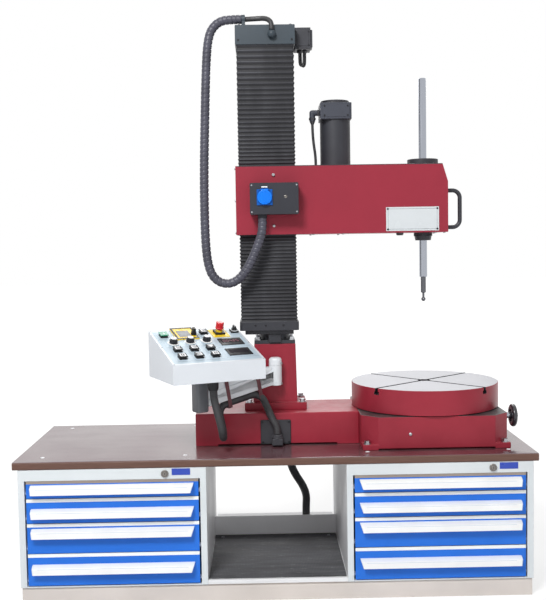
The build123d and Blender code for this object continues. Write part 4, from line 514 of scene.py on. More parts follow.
def hose_black(colour, pitch):
    """Ribbed hose skin, which follows the hose by its own map, with painted shade in the grooves and painted
    highlight on the crests of the ribs.
    """
    tree, shader = blank("hose_black")
    along = axes(tree, put(tree, "ShaderNodeUVMap", uv_map="along").outputs[0])["Y"]
    rib = ranged(tree, sums(tree, "SINE", times(tree, along, math.tau / pitch)), -1.0, 0.4)
    tone = mottled(tree, 18.0)
    # Painted shade in the ribs' grooves and painted highlight on their crests
    base = mixed(tree, rib, shaded(colour, 0.55), shaded(colour, 1.1))
    base = mixed(tree, times(tree, tone, 0.3), base, shaded(colour, 1.6))
    base = dusted(tree, base, 0.18)
    gloss = ranged(tree, tone, 0.0, 1.0, 0.55, 0.42)
    finished(tree, shader, base, gloss, rib, 0.5, 0.0012)


def panel_film(colour, margin):
    """Printed film on the sloped panel, with a painted margin round it."""
    tree, shader = blank("panel_film")
    frame_of = {"Vector": own_place(tree), "Location": PANEL.translation, "Rotation": PANEL.to_euler()}
    spot = axes(tree, put(tree, "ShaderNodeMapping", frame_of, vector_type="TEXTURE").outputs[0])
    shares = []
    blur = 0.0005

    # The film's middle and half its width along each axis of the panel
    for axis, middle, half in (("X", 0.186, 0.177), ("Y", 0.157, 0.147)):
        off = sums(tree, "ABSOLUTE", less(tree, spot[axis], middle))
        shares.append(ranged(tree, off, half + blur, half - blur))
    inside = times(tree, *shares)
    tone = mottled(tree, 10.0)
    grain = grained(tree, 1600.0)["Height"]
    base = mixed(tree, tone, shaded(colour, 0.95), shaded(colour, 1.05))
    base = mixed(tree, inside, margin, base)
    base = dusted(tree, base, 0.08)
    gloss = ranged(tree, grain, 0.3, 0.7, 0.34, 0.46)
    height = plus(tree, times(tree, grain, 0.1), inside)
    finished(tree, shader, base, gloss, height, 0.25, 0.0004)


def mat_rubber(pitch):
    """Ribbed rubber with grey scuffs and painted shade in the grooves between the ribs."""
    tree, shader = blank("mat_rubber")
    across = axes(tree, own_place(tree))["X"]
    rib = ranged(tree, sums(tree, "SINE", times(tree, across, math.tau / pitch)), -0.6, 0.6)
    scuff = mottled(tree, 9.0, (0.5, 3.0, 1.0))
    fleck = grained(tree, 170.0, (0.15, 1.0, 1.0))["Speck"]
    base = mixed(tree, scuff, linear(50, 51, 54), linear(97, 98, 102))
    base = mixed(tree, times(tree, fleck, 0.6), base, linear(146, 147, 150))
    # Painted shade: the grooves between the ribs are darkened
    base = mixed(tree, ranged(tree, rib, 0.0, 1.0, 0.25, 0.0), base, linear(46, 47, 50))
    gloss = ranged(tree, scuff, 0.0, 1.0, 0.6, 0.78)
    finished(tree, shader, base, gloss, rib, 0.2, 0.0006)


def machine_paints(colours):
    """Paints of the machine, from its castings to the console."""
    cast = (0.36, 0.1, 5.0, (420.0, 0.3), (0.003, 0.42, linear(196, 120, 122)), 0.12)
    enamel("casting_red", colours.casting_red, *cast, shine=0.25)
    # A lighter copy of the casting red for the bed: painted light that offsets the shade on the bed
    enamel("bed_red", shaded(colours.casting_red, 1.13), *cast, shine=0.25)
    bare = (0.002, 0.4, linear(190, 110, 114))
    enamel("sheet_red", colours.sheet_red, 0.4, 0.06, 4.0, (1300.0, 0.22), bare, 0.1, shine=0.25)
    bare = (0.002, 0.4, linear(112, 115, 120))
    enamel("black_paint", colours.machine_black, 0.42, 0.1, 8.0, (800.0, 0.24), bare, 0.16, shine=0.35)
    bare = (0.002, 0.4, linear(120, 126, 132))
    enamel("head_grey", colours.head_grey, 0.42, 0.1, 8.0, (800.0, 0.24), bare, 0.2, shine=0.35)
    bare = (0.002, 0.42, linear(112, 114, 120))
    enamel("motor_black", colours.machine_black, 0.46, 0.12, 9.0, (600.0, 0.3), bare, 0.16, shine=0.35)
    bare = (0.002, 0.42, linear(124, 128, 136))
    enamel("terminal_grey", linear(62, 65, 75), 0.44, 0.08, 9.0, (600.0, 0.26), bare, 0.16, shine=0.35)
    enamel("socket_black", linear(46, 47, 54), 0.46, 0.07, 9.0, (1100.0, 0.26), None, 0.14, shine=0.3)
    bare = (0.0015, 0.4, linear(98, 98, 102))
    enamel("cover_grey", linear(62, 62, 67), 0.5, 0.08, 16.0, (500.0, 0.2), bare, 0.1, shine=0.3)
    bare = (0.0015, 0.34, linear(160, 165, 172))
    enamel("console_white", colours.console_white, 0.4, 0.02, 5.0, (1300.0, 0.2), bare, 0.05)
    bare = (0.002, 0.4, linear(150, 152, 154))
    enamel("bracket_white", linear(225, 230, 234), 0.36, 0.05, 16.0, (900.0, 0.14), bare, 0.08)
    bare = (0.002, 0.42, linear(176, 172, 170))
    # The stand's grey is partly its own colour and partly painted shade from the console above
    enamel("stand_grey", linear(98, 101, 106), 0.46, 0.1, 14.0, (700.0, 0.25), bare, 0.1)
    enamel("plate_white", linear(208, 213, 216), 0.28, 0.02, 9.0, (1600.0, 0.06), None, 0.04)


def bench_paints(colours):
    """Paints of the cabinets, the drawers and the bay."""
    bare = (0.0015, 0.36, linear(130, 168, 226))
    enamel("drawer_blue", colours.drawer_blue, 0.4, 0.05, 5.0, (1500.0, 0.14), bare, 0.03, shine=0.3)
    bare = (0.002, 0.36, linear(168, 172, 174))
    enamel("carcass_grey", colours.carcass_grey, 0.42, 0.035, 3.0, (1400.0, 0.18), bare, 0.08)
    # A slightly darker, greyer copy of the carcass paint for the bay's side walls: painted shade
    enamel("bay_grey", linear(216, 217, 219), 0.42, 0.06, 4.0, (1200.0, 0.15), None, 0.12)
    # A paler copy of the cabinet paint for the panels in the bay: painted light against the bay's shade
    enamel("cabinet_pale", linear(238, 239, 241), 0.42, 0.04, 4.0, (1200.0, 0.15), None, 0.1)
    bare = (0.004, 0.5, linear(160, 150, 142))
    enamel("plinth_grey", linear(214, 206, 200), 0.5, 0.07, 3.0, (700.0, 0.2), bare, 0.12)
    enamel("badge_blue", linear(40, 70, 176), 0.3, 0.05, 20.0, (1500.0, 0.05))


def plastics(colours):
    """Plastics, prints and rubber of the grips, the controls, the outlet and the leads."""
    enamel("grip_white", linear(248, 249, 249), 0.34, 0.03, 9.0, (1800.0, 0.05), None, 0.06)
    # The grips' end caps are painted bluish grey: painted shade on their angled ends
    enamel("grip_cap", linear(196, 210, 226), 0.4, 0.05, 12.0, (1400.0, 0.1))
    enamel("strip_pale", linear(246, 248, 247), 0.42, 0.03, 9.0, (1500.0, 0.1))
    # The top drawer's strip is painted grey-brown: a painted shadow line under the fascia
    enamel("strip_dull", linear(150, 138, 128), 0.5, 0.06, 9.0, (1500.0, 0.1))
    enamel("bakelite", linear(45, 45, 51), 0.24, 0.12, 12.0, (900.0, 0.06), None, 0.1, coating=0.3)
    enamel("button_black", linear(36, 37, 40), 0.44, 0.08, 30.0, (1700.0, 0.14), None, 0.06, shine=0.25)
    enamel("button_green", linear(52, 150, 116), 0.3, 0.06, 30.0, (1700.0, 0.08), None, 0.05)
    enamel("cap_white", linear(238, 240, 243), 0.34, 0.03, 30.0, (1700.0, 0.06))
    enamel("stop_red", linear(214, 30, 42), 0.28, 0.06, 30.0, (1500.0, 0.06), None, 0.06, coating=0.3)
    enamel("plate_yellow", linear(244, 206, 32), 0.4, 0.05, 30.0, (1500.0, 0.08), None, 0.05)
    enamel("window_grey", linear(142, 144, 148), 0.45, 0.08, 30.0, (1500.0, 0.04), None, 0.03, shine=0.25)
    outlet = (0.05, 20.0, (1500.0, 0.08), None, 0.05)
    enamel("frame_blue", shaded(colours.lid_blue, 0.5), 0.34, *outlet, shine=0.25)
    enamel("lid_blue", colours.lid_blue, 0.3, *outlet, shine=0.25)
    enamel("print_grey", linear(96, 104, 116), 0.5, 0.06, 60.0, (1500.0, 0.05))
    enamel("display_dark", linear(40, 37, 42), 0.6, 0.1, 30.0, (1500.0, 0.02), None, 0.02, shine=0.06)
    enamel("digit_red", linear(188, 120, 132), 0.5, 0.06, 60.0, (1500.0, 0.02))
    enamel("strap_red", linear(98, 54, 60), 0.6, 0.15, 60.0, (1300.0, 0.3))
    enamel("lead_black", linear(40, 40, 43), 0.46, 0.12, 24.0, (900.0, 0.12), None, 0.16)
    rubbed = (0.0012, 0.52, linear(122, 122, 132))
    enamel("wrap_black", linear(64, 64, 76), 0.44, 0.2, 16.0, (700.0, 0.25), rubbed, 0.22)
    enamel("belt_rubber", linear(40, 40, 42), 0.7, 0.1, 30.0, (900.0, 0.3))


def metals():
    """Bare and plated metals."""
    enamel("tray_zinc", linear(170, 173, 176), 0.38, 0.1, 26.0, (300.0, 0.1), metal=0.85)
    # The base's bare top face is painted dark grey: painted shade under the table's rim
    enamel("oiled_iron", linear(52, 50, 52), 0.4, 0.2, 12.0, (300.0, 0.2), None, 0.1)
    enamel("screw_zinc", linear(176, 178, 182), 0.34, 0.12, 90.0, (900.0, 0.1), metal=1.0)
    enamel("screw_black", linear(46, 46, 50), 0.4, 0.12, 90.0, (900.0, 0.1), metal=0.6)
    bright = (0.001, 0.5, linear(220, 222, 226))
    enamel("bolt_zinc", linear(176, 178, 182), 0.34, 0.14, 60.0, (700.0, 0.14), bright, 0.1, metal=1.0)
    enamel("lock_chrome", linear(128, 124, 120), 0.24, 0.1, 60.0, (900.0, 0.06), metal=1.0)
    axis = tuple(mm(SPINDLE_X, MACHINE_Y, 0))
    steel("table_ground", linear(190, 191, 196), 0.55, 500.0, (1.0, 1.0, 0.2), axis, 0.15)
    steel("shaft_steel", linear(172, 176, 185), 0.14, 240.0, (1.0, 1.0, 0.03))
    steel("tool_steel", linear(104, 105, 110), 0.34, 900.0, (0.05, 0.05, 1.0))
    steel("post_steel", linear(150, 152, 155), 0.3, 700.0, (1.0, 1.0, 0.04))


def mix_finishes(colours):
    """Every finish of the machine and its bench."""
    build_effects()
    machine_paints(colours)
    bench_paints(colours)
    plastics(colours)
    metals()
    worktop_film(tuple(colours.worktop_brown))
    worktop_edge(tuple(colours.edge_brown))
    bellows_cloth(tuple(colours.bellows_black))
    hose_black(linear(48, 48, 51), 0.0055)
    panel_film(tuple(colours.film_blue), tuple(colours.console_white))
    mat_rubber(0.006)


# Mesh shorthand

def evaluated_mesh(obj):
    """The plain mesh of an object with its modifiers."""
    bpy.context.view_layer.update()
    depsgraph = bpy.context.evaluated_depsgraph_get()
    return bpy.data.meshes.new_from_object(obj.evaluated_get(depsgraph), preserve_all_data_layers=True,
                                           depsgraph=depsgraph)


def settle(obj):
    """Turns an object's modifiers into its mesh."""
    mesh = evaluated_mesh(obj)
    obj.modifiers.clear()
    raw = obj.data
    obj.data = mesh
    bpy.data.meshes.remove(raw)
    mesh.name = obj.name


def shown(name, data):
    """A new object in the scene."""
    obj = bpy.data.objects.new(name, data)
    bpy.context.scene.collection.objects.link(obj)
    return obj


def seat(obj, body, slot, *nodes):
    """Puts a finished piece on its body, in place of the nodes named. The slot is not used."""
    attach(obj, body)
    if nodes:
        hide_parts(*nodes)
    return obj


# Points closer than this are one, faces within this angle are one flat, and edges past this are sharp
WELD = 4e-6
FLAT = math.radians(0.4)
SHARP = math.radians(32)


def round_edges(obj, width, segments=2):
    """Rounds an object's sharp edges and keeps its flats flat."""
    mesh = obj.data
    mesh.polygons.foreach_set("use_smooth", [True] * len(mesh.polygons))
    mesh.set_sharp_from_angle(angle=SHARP)
    bevel = obj.modifiers.new("rounding", "BEVEL")
    bevel.width = width
    bevel.segments = segments
    bevel.limit_method = "ANGLE"
    bevel.angle_limit = SHARP
    bevel.harden_normals = True
    bevel.use_clamp_overlap = False
    settle(obj)


def copied(node):
    """A node's mesh with its loose triangles joined into whole faces."""
    bm = bmesh.new()
    bm.from_mesh(frame["nodes"][node].data)
    bmesh.ops.remove_doubles(bm, verts=bm.verts, dist=WELD)
    bmesh.ops.dissolve_limit(bm, angle_limit=FLAT, verts=bm.verts, edges=bm.edges)
    return bm


def from_bmesh(name, bm, finishes):
    """An object from a bmesh, with its finishes in order."""
    mesh = bpy.data.meshes.new(name)
    bm.normal_update()
    bm.to_mesh(mesh)
    bm.free()
    for finish in finishes:
        mesh.materials.append(coat(finish))
    return shown(name, mesh)


def softened(node, width, slot, finishes, choose=None, change=None, drop=None):
    """A node with its edges rounded and a finish for each of its faces.

    choose names a face's finish and drop tells which faces go, both from the face's centre and normal.
    change works on the bmesh.
    """
    bm = copied(node)
    if drop:
        doomed = [face for face in bm.faces if drop(face.calc_center_median(), face.normal)]
        bmesh.ops.delete(bm, geom=doomed, context="FACES")
    if change:
        change(bm)
    if choose:
        for face in bm.faces:
            face.material_index = finishes.index(choose(face.calc_center_median(), face.normal))
    obj = from_bmesh(f"{node}_dressed", bm, finishes)
    round_edges(obj, width)
    return seat(obj, BODY_OF[node], slot, node)


def slab(bm, where, size, finish=0):
    """A block in a bmesh, centred on a place and given in millimetres."""
    made = bmesh.ops.create_cube(bm, size=1.0, matrix=where @ Matrix.Diagonal((*mm(*size), 1)))
    for face in {face for vert in made["verts"] for face in vert.link_faces}:
        face.material_index = finish


def prism(bm, where, outline, low, high, finish=0):
    """An upright prism in a bmesh over an outline in millimetres."""
    rings = []
    for level in (low, high):
        rings.append([bm.verts.new(where @ mm(x, y, level)) for x, y in outline])
    faces = [bm.faces.new(rings[0][::-1]), bm.faces.new(rings[1])]
    for index in range(len(outline)):
        after = (index + 1) % len(outline)
        faces.append(bm.faces.new((rings[0][index], rings[0][after], rings[1][after], rings[1][index])))
    for face in faces:
        face.material_index = finish


def turned(bm, where, profile, sides=32, finish=0):
    """A turned part in a bmesh: radius and height pairs in millimetres, round the local Z axis."""
    rings = []
    for radius, height in profile:
        if radius == 0:
            rings.append([bm.verts.new(where @ mm(0, 0, height))] * sides)
            continue
        ring = []
        for step in range(sides):
            angle = math.tau * step / sides
            ring.append(bm.verts.new(where @ mm(radius * math.cos(angle), radius * math.sin(angle), height)))
        rings.append(ring)
    for lower, upper in zip(rings, rings[1:]):
        for step in range(sides):
            after = (step + 1) % sides
            corners = []
            for vert in (lower[step], lower[after], upper[after], upper[step]):
                if vert not in corners:
                    corners.append(vert)
            bm.faces.new(corners).material_index = finish


def level_at(x, y, z):
    """A place in millimetres whose axes are the machine's."""
    return Matrix.Translation(mm(x, y, z))


def at(x, y, z, axis="Z"):
    """A place in millimetres whose local Z points along an axis, such as Z, -Z or -X."""
    point = [0, 0, 0]
    point["XYZ".index(axis[-1])] = -1 if axis.startswith("-") else 1
    spin = Vector(point).to_track_quat("Z", "Y").to_matrix().to_4x4()
    return level_at(x, y, z) @ spin


def facing(x, y, z):
    """A place on an upright front: local X to the right, local Y up, local Z to the front."""
    return level_at(x, y, z) @ Matrix.Rotation(math.radians(90), 4, "X")


# Stands an outline of depth and height upright, so that its prism runs to the right
ACROSS = Matrix(((0, 0, 1, 0), (1, 0, 0, 0), (0, 1, 0, 0), (0, 0, 0, 1)))


def moved(where, x, y, z=0.0):
    """A place moved along its own axes, in millimetres."""
    return where @ level_at(x, y, z)


def panel_at(u, v, w=0.0):
    """A place on the console's panel, in millimetres from its front left corner."""
    return moved(PANEL, u, v, w)


def fitted(name, bm, finishes, body, slot, width=TRIM_EDGE):
    """A small fitting from a bmesh, with its edges eased."""
    bmesh.ops.recalc_face_normals(bm, faces=bm.faces)
    obj = from_bmesh(name, bm, finishes)
    round_edges(obj, width, 1)
    return seat(obj, body, slot)


# Geometry Nodes

def node_tree(name, inputs):
    """An empty geometry tree with its named inputs."""
    tree = bpy.data.node_groups.new(name, "GeometryNodeTree")
    tree.is_modifier = True
    tree.interface.new_socket(name="Geometry", in_out="INPUT", socket_type="NodeSocketGeometry")
    tree.interface.new_socket(name="Geometry", in_out="OUTPUT", socket_type="NodeSocketGeometry")
    for title, kind in inputs:
        tree.interface.new_socket(name=title, in_out="INPUT", socket_type=f"NodeSocket{kind}")
    return tree, tree.nodes.new("NodeGroupInput").outputs, tree.nodes.new("NodeGroupOutput").inputs[0]


def raised(tree, geometry, height):
    """Geometry moved up."""
    up = put(tree, "ShaderNodeCombineXYZ", (0.0, 0.0, height)).outputs[0]
    return put(tree, "GeometryNodeTransform", {"Geometry": geometry, "Translation": up}).outputs[0]


def cone(tree, sides, top, bottom, depth):
    """A capped cone or prism that stands on the origin."""
    values = {"Vertices": sides, "Radius Top": top, "Radius Bottom": bottom, "Depth": depth}
    return put(tree, "GeometryNodeMeshCone", values).outputs["Mesh"]


def curve_points(tree, curve):
    """The points of a curve."""
    return put(tree, "GeometryNodeCurveToPoints", {"Curve": curve}, mode="EVALUATED").outputs["Points"]


def end_tree(tree, geometry, finish, result):
    """Makes the instances real and gives them their finish."""
    whole = put(tree, "GeometryNodeRealizeInstances", (geometry,)).outputs[0]
    values = {"Geometry": whole, "Material": finish}
    tree.links.new(put(tree, "GeometryNodeSetMaterial", values).outputs[0], result)
    return tree


def bellows_tree():
    """A rectangular bellows: rings of a rounded rectangle that run in and out as they climb."""
    tree, given, result = node_tree("bellows folds", (
        ("Width", "Float"), ("Depth", "Float"), ("Bottom", "Float"), ("Top", "Float"), ("Folds", "Int"),
        ("Fold Depth", "Float"), ("Crowding", "Float"), ("Place", "Vector"), ("Cloth", "Material")))
    corner_radius, corner_points, rows, weld = 0.006, 3, 6.0, 0.0001
    size = {"Width": given["Width"], "Height": given["Depth"]}
    box = put(tree, "GeometryNodeCurvePrimitiveQuadrilateral", size).outputs[0]
    corner = {"Curve": box, "Count": corner_points, "Radius": corner_radius}
    ring = curve_points(tree, put(tree, "GeometryNodeFilletCurve", corner, mode="POLY").outputs[0])
    count = put(tree, "GeometryNodeAttributeDomainSize", (ring,), component="POINTCLOUD").outputs[0]

    # A flat sheet, with one column for each point of the ring and some rows for each fold
    sheet = put(tree, "GeometryNodeMeshGrid", {
        "Size X": 1.0, "Size Y": 1.0, "Vertices X": plus(tree, count, 1.0),
        "Vertices Y": plus(tree, times(tree, given["Folds"], rows), 1.0)}).outputs["Mesh"]
    here = put(tree, "GeometryNodeInputPosition").outputs[0]
    parts = axes(tree, here)
    climb = plus(tree, parts["Y"], 0.5)
    column = sums(tree, "ROUND", times(tree, plus(tree, parts["X"], 0.5), count))
    values = {"Geometry": ring, "Value": here, "Index": sums(tree, "MODULO", column, count)}
    spot = put(tree, "GeometryNodeSampleIndex", values, data_type="FLOAT_VECTOR", domain="POINT").outputs[0]
    flat = axes(tree, spot)

    # How far each row runs in, and how high it lies
    fold = sums(tree, "PINGPONG", times(tree, climb, times(tree, given["Folds"], 2.0)), 1.0)
    run_in = times(tree, times(tree, given["Fold Depth"], ranged(tree, fold, 0.0, 1.0)), 2.0)
    narrow_x = less(tree, 1.0, sums(tree, "DIVIDE", run_in, given["Width"]))
    narrow_y = less(tree, 1.0, sums(tree, "DIVIDE", run_in, given["Depth"]))
    even = times(tree, less(tree, 1.0, given["Crowding"]), climb)
    spaced = plus(tree, even, times(tree, given["Crowding"], times(tree, climb, climb)))
    tall = less(tree, given["Top"], given["Bottom"])
    level = plus(tree, given["Bottom"], times(tree, tall, spaced))
    folded = put(tree, "ShaderNodeCombineXYZ", (
        times(tree, flat["X"], narrow_x), times(tree, flat["Y"], narrow_y), level)).outputs[0]

    values = {"Geometry": sheet, "Name": "fold", "Value": fold}
    marked = put(tree, "GeometryNodeStoreNamedAttribute", values, data_type="FLOAT", domain="POINT")
    values = {"Geometry": marked.outputs[0], "Position": vectors(tree, "ADD", folded, given["Place"])}
    wall = put(tree, "GeometryNodeSetPosition", values).outputs[0]
    joined = put(tree, "GeometryNodeMergeByDistance", {"Geometry": wall, "Distance": weld}).outputs[0]
    return end_tree(tree, joined, given["Cloth"], result)


def screw_tree():
    """Socket head screws on points that carry an axis and a head radius."""
    tree, given, result = node_tree("socket screws", (
        ("Rise", "Float"), ("Socket", "Float"), ("Finish", "Material")))
    sides, crown_radius, crown_rise, key_depth, key_length = 16, 0.74, 0.2, 0.2, 0.9
    body = cone(tree, sides, 1.0, 1.0, given["Rise"])
    crown = raised(tree, cone(tree, sides, crown_radius, 1.0, crown_rise), given["Rise"])
    head = put(tree, "GeometryNodeMeshBoolean", {"Mesh 2": body}, operation="UNION", solver="EXACT")
    tree.links.new(crown, head.inputs["Mesh 2"])
    key = cone(tree, 6, given["Socket"], given["Socket"], key_length)
    values = {"Mesh 1": head.outputs[0], "Mesh 2": raised(tree, key, less(tree, given["Rise"], key_depth))}
    drilled = put(tree, "GeometryNodeMeshBoolean", values, operation="DIFFERENCE", solver="EXACT").outputs[0]
    stored = "GeometryNodeInputNamedAttribute"
    axis = put(tree, stored, {"Name": "axis"}, data_type="FLOAT_VECTOR").outputs[0]
    size = put(tree, stored, {"Name": "head"}, data_type="FLOAT").outputs[0]
    turn = put(tree, "FunctionNodeAlignRotationToVector", {"Vector": axis}, axis="Z").outputs[0]
    spots = put(tree, "GeometryNodeMeshToPoints", {"Mesh": given["Geometry"]}).outputs[0]
    values = {"Points": spots, "Instance": drilled, "Rotation": turn, "Scale": size}
    placed = put(tree, "GeometryNodeInstanceOnPoints", values).outputs[0]
    return end_tree(tree, placed, given["Finish"], result)


def ring_tree():
    """Bars in a ring or an arc about Z, each turned to the centre: flutes, ticks and slots."""
    tree, given, result = node_tree("ring of bars", (
        ("Count", "Int"), ("Radius", "Float"), ("Start", "Float"), ("Sweep", "Float"), ("Bar", "Vector"),
        ("Lift", "Float"), ("Finish", "Material")))
    arc = put(tree, "GeometryNodeCurveArc", {
        "Resolution": given["Count"], "Radius": given["Radius"], "Start Angle": given["Start"],
        "Sweep Angle": given["Sweep"]}).outputs["Curve"]
    bar = put(tree, "GeometryNodeMeshCube", {"Size": given["Bar"]}).outputs["Mesh"]
    here = {"Vector": put(tree, "GeometryNodeInputPosition").outputs[0]}
    turn = put(tree, "FunctionNodeAlignRotationToVector", here, axis="X", pivot_axis="Z").outputs[0]
    lifted = raised(tree, bar, given["Lift"])
    values = {"Points": curve_points(tree, arc), "Instance": lifted, "Rotation": turn}
    placed = put(tree, "GeometryNodeInstanceOnPoints", values).outputs[0]
    return end_tree(tree, placed, given["Finish"], result)


def grown(name, tree, values, mesh=None):
    """A plain mesh object grown by a geometry tree from its named inputs."""
    obj = shown(name, mesh or bpy.data.meshes.new(name))
    modifier = obj.modifiers.new(tree.name, "NODES")
    modifier.node_group = tree
    for item in tree.interface.items_tree:
        if item.item_type == "SOCKET" and item.in_out == "INPUT" and item.name in values:
            modifier[item.identifier] = values[item.name]
    settle(obj)
    finish = obj.data.materials[-1]
    obj.data.materials.clear()
    obj.data.materials.append(finish)
    obj.data.polygons.foreach_set("material_index", [0] * len(obj.data.polygons))
    return obj


def tree_named(name, build):
    """A geometry tree, built the first time it is asked for."""
    return bpy.data.node_groups.get(name) or build()


def screws(name, body, spots, finish="screw_zinc", rise=0.55, socket=0.5):
    """Screws of one body: each spot is x, y, z in millimetres, an axis and a head radius in metres."""
    mesh = bpy.data.meshes.new(f"{name}_spots")
    mesh.from_pydata([tuple(mm(*spot[:3])) for spot in spots], [], [])
    mesh.attributes.new("axis", "FLOAT_VECTOR", "POINT")
    mesh.attributes.new("head", "FLOAT", "POINT")
    for index, spot in enumerate(spots):
        mesh.attributes["axis"].data[index].vector = spot[3]
        mesh.attributes["head"].data[index].value = spot[4]
    tree = tree_named("socket screws", screw_tree)
    obj = grown(name, tree, {"Rise": rise, "Socket": socket, "Finish": coat(finish)}, mesh)
    return seat(obj, body, "steel")


def bars(name, body, slot, finish, where, count, radius, bar, lift, start=0.0, sweep=None):
    """A ring of bars at a place; sizes in millimetres."""
    full = math.tau * (count - 1) / count
    tree = tree_named("ring of bars", ring_tree)
    obj = grown(name, tree, {
        "Count": count, "Radius": radius / 1000, "Start": start, "Sweep": sweep or full, "Bar": mm(*bar),
        "Lift": lift / 1000, "Finish": coat(finish)})
    obj.data.transform(where)
    return seat(obj, body, slot)


# Hoses

def route_line(name, route):
    """Points along the smooth line of a hose's route, in metres."""
    curve = bpy.data.curves.new(f"{name}_line", "CURVE")
    curve.dimensions = "3D"
    curve.resolution_u = 16
    spline = curve.splines.new("NURBS")
    spline.points.add(len(route) - 1)
    for point, spot in zip(spline.points, route):
        point.co = (*mm(*spot), 1)
    spline.order_u = 3
    spline.use_endpoint_u = True
    obj = shown(f"{name}_line", curve)
    mesh = evaluated_mesh(obj)
    line = [vert.co.copy() for vert in mesh.vertices]
    bpy.data.objects.remove(obj)
    bpy.data.curves.remove(curve)
    bpy.data.meshes.remove(mesh)
    return line


def stations(line, step):
    """Evenly spaced points along a line, and the line's length."""
    lengths = [0.0]
    for before, after in zip(line, line[1:]):
        lengths.append(lengths[-1] + (after - before).length)
    count = max(2, round(lengths[-1] / step))
    spots = []
    index = 0
    for number in range(count + 1):
        reach = lengths[-1] * number / count
        while index < len(line) - 2 and lengths[index + 1] < reach:
            index += 1
        share = (reach - lengths[index]) / max(1e-9, lengths[index + 1] - lengths[index])
        spots.append(line[index].lerp(line[index + 1], min(1.0, share)))
    return spots, lengths[-1]


def hose(name, route, radius, step, finish, sides=20, shape=None):
    """A closed tube along a route, with its line and length.

    shape gives the radius from the distance along and the angle round.
    """
    line = route_line(name, route)
    spots, length = stations(line, step)
    bm = bmesh.new()
    layer = bm.loops.layers.uv.new("along")
    side = None
    rings = []
    for index, spot in enumerate(spots):
        ahead = (spots[min(index + 1, len(spots) - 1)] - spots[max(index - 1, 0)]).normalized()
        if side is None:
            side = ahead.orthogonal().normalized()
        side = (side - ahead * side.dot(ahead)).normalized()
        other = ahead.cross(side)
        reach = length * index / (len(spots) - 1)
        ring = []
        for corner in range(sides):
            angle = math.tau * corner / sides
            size = shape(reach, angle) if shape else radius
            ring.append(bm.verts.new(spot + (side * math.cos(angle) + other * math.sin(angle)) * size))
        rings.append((reach, ring))
    for (low, lower), (high, upper) in zip(rings, rings[1:]):
        for corner in range(sides):
            after = (corner + 1) % sides
            face = bm.faces.new((lower[corner], lower[after], upper[after], upper[corner]))
            face.smooth = True
            places = ((corner, low), (corner + 1, low), (corner + 1, high), (corner, high))
            for loop, (share, reach) in zip(face.loops, places):
                loop[layer].uv = (share / sides, reach)
    bm.faces.new(rings[0][1][::-1])
    bm.faces.new(rings[-1][1])
    bmesh.ops.recalc_face_normals(bm, faces=bm.faces)
    return from_bmesh(name, bm, (finish,)), line, length


# Operators

class GRINDER_OT_finishes(Operator):
    """Mix the paints, metals, cloth and rubber, and lay them on the frame's own parts"""

    bl_idname = "grinder.finishes"
    bl_label = "Finishes"

    def execute(self, context):
        mix_finishes(context.scene.grinder_colours)
        laid = {
            "hex_bolts": "bolt_zinc", "column_post": "post_steel", "lead_screw": "post_steel",
            "arm_carriage": "post_steel", "spindle_bearings": "tool_steel", "drive_belt": "belt_rubber",
            "motor_pulley": "tool_steel", "worm_shaft": "shaft_steel", "handwheel": "bakelite",
            "grab_handle": "black_paint", "spindle_shaft": "shaft_steel", "tool_holder": "tool_steel",
            "estop_button": "stop_red", "main_switch": "button_black", "selector_switch": "button_black",
            # The control cabinet in the bay takes the paler copy: painted light
            "control_cabinet": "cabinet_pale",
        }
        for number in range(1, 9):
            laid[f"push_button_{number}"] = "button_green" if number == 1 else "button_black"
        for number in range(1, 4):
            laid[f"speed_knob_{number}"] = "bakelite"
        for node, finish in laid.items():
            mesh = frame["nodes"][node].data
            mesh.materials.clear()
            mesh.materials.append(coat(finish))
        return {"FINISHED"}


class GRINDER_OT_castings(Operator):
    """Round the edges of the castings, from the bed to the column's foot, and of the hose's cover"""

    bl_idname = "grinder.castings"
    bl_label = "Castings"

    def execute(self, context):
        width = context.scene.grinder_sizes.casting_round
        base_top = 0.68
        table_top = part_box("round_table")[1].z
        slot_depth, slot_reach = 0.03, 0.298
        axis = mm(SPINDLE_X, MACHINE_Y, 0)

        # The base's bare top face is painted dark grey: painted shade under the table's rim
        def base_face(centre, normal):
            return "oiled_iron" if normal.z > SQUARE and centre.z > base_top else "casting_red"

        def table_face(centre, normal):
            if normal.z > SQUARE and centre.z > table_top - 0.001:
                return "table_ground"
            reach = math.hypot(centre.x - axis.x, centre.y - axis.y)
            in_slot = centre.z > table_top - slot_depth and reach < slot_reach
            return "tool_steel" if in_slot else "casting_red"

        # The bed takes the lighter copy of the casting red: painted light
        softened("bed", width, "red_casting", ["bed_red"])
        softened("table_base", width, "red_casting", ["casting_red", "oiled_iron"], base_face)
        softened("pedestal", width, "red_casting", ["casting_red"])
        finishes = ["casting_red", "table_ground", "tool_steel"]
        softened("round_table", FINE_EDGE, "red_table", finishes, table_face)
        softened("swivel_plate", METAL_EDGE, "black_metal", ["black_paint"])
        softened("column_foot", METAL_EDGE, "black_metal", ["black_paint"])
        softened("cable_fittings", COVER_EDGE, "black_metal", ["cover_grey"])
        return {"FINISHED"}


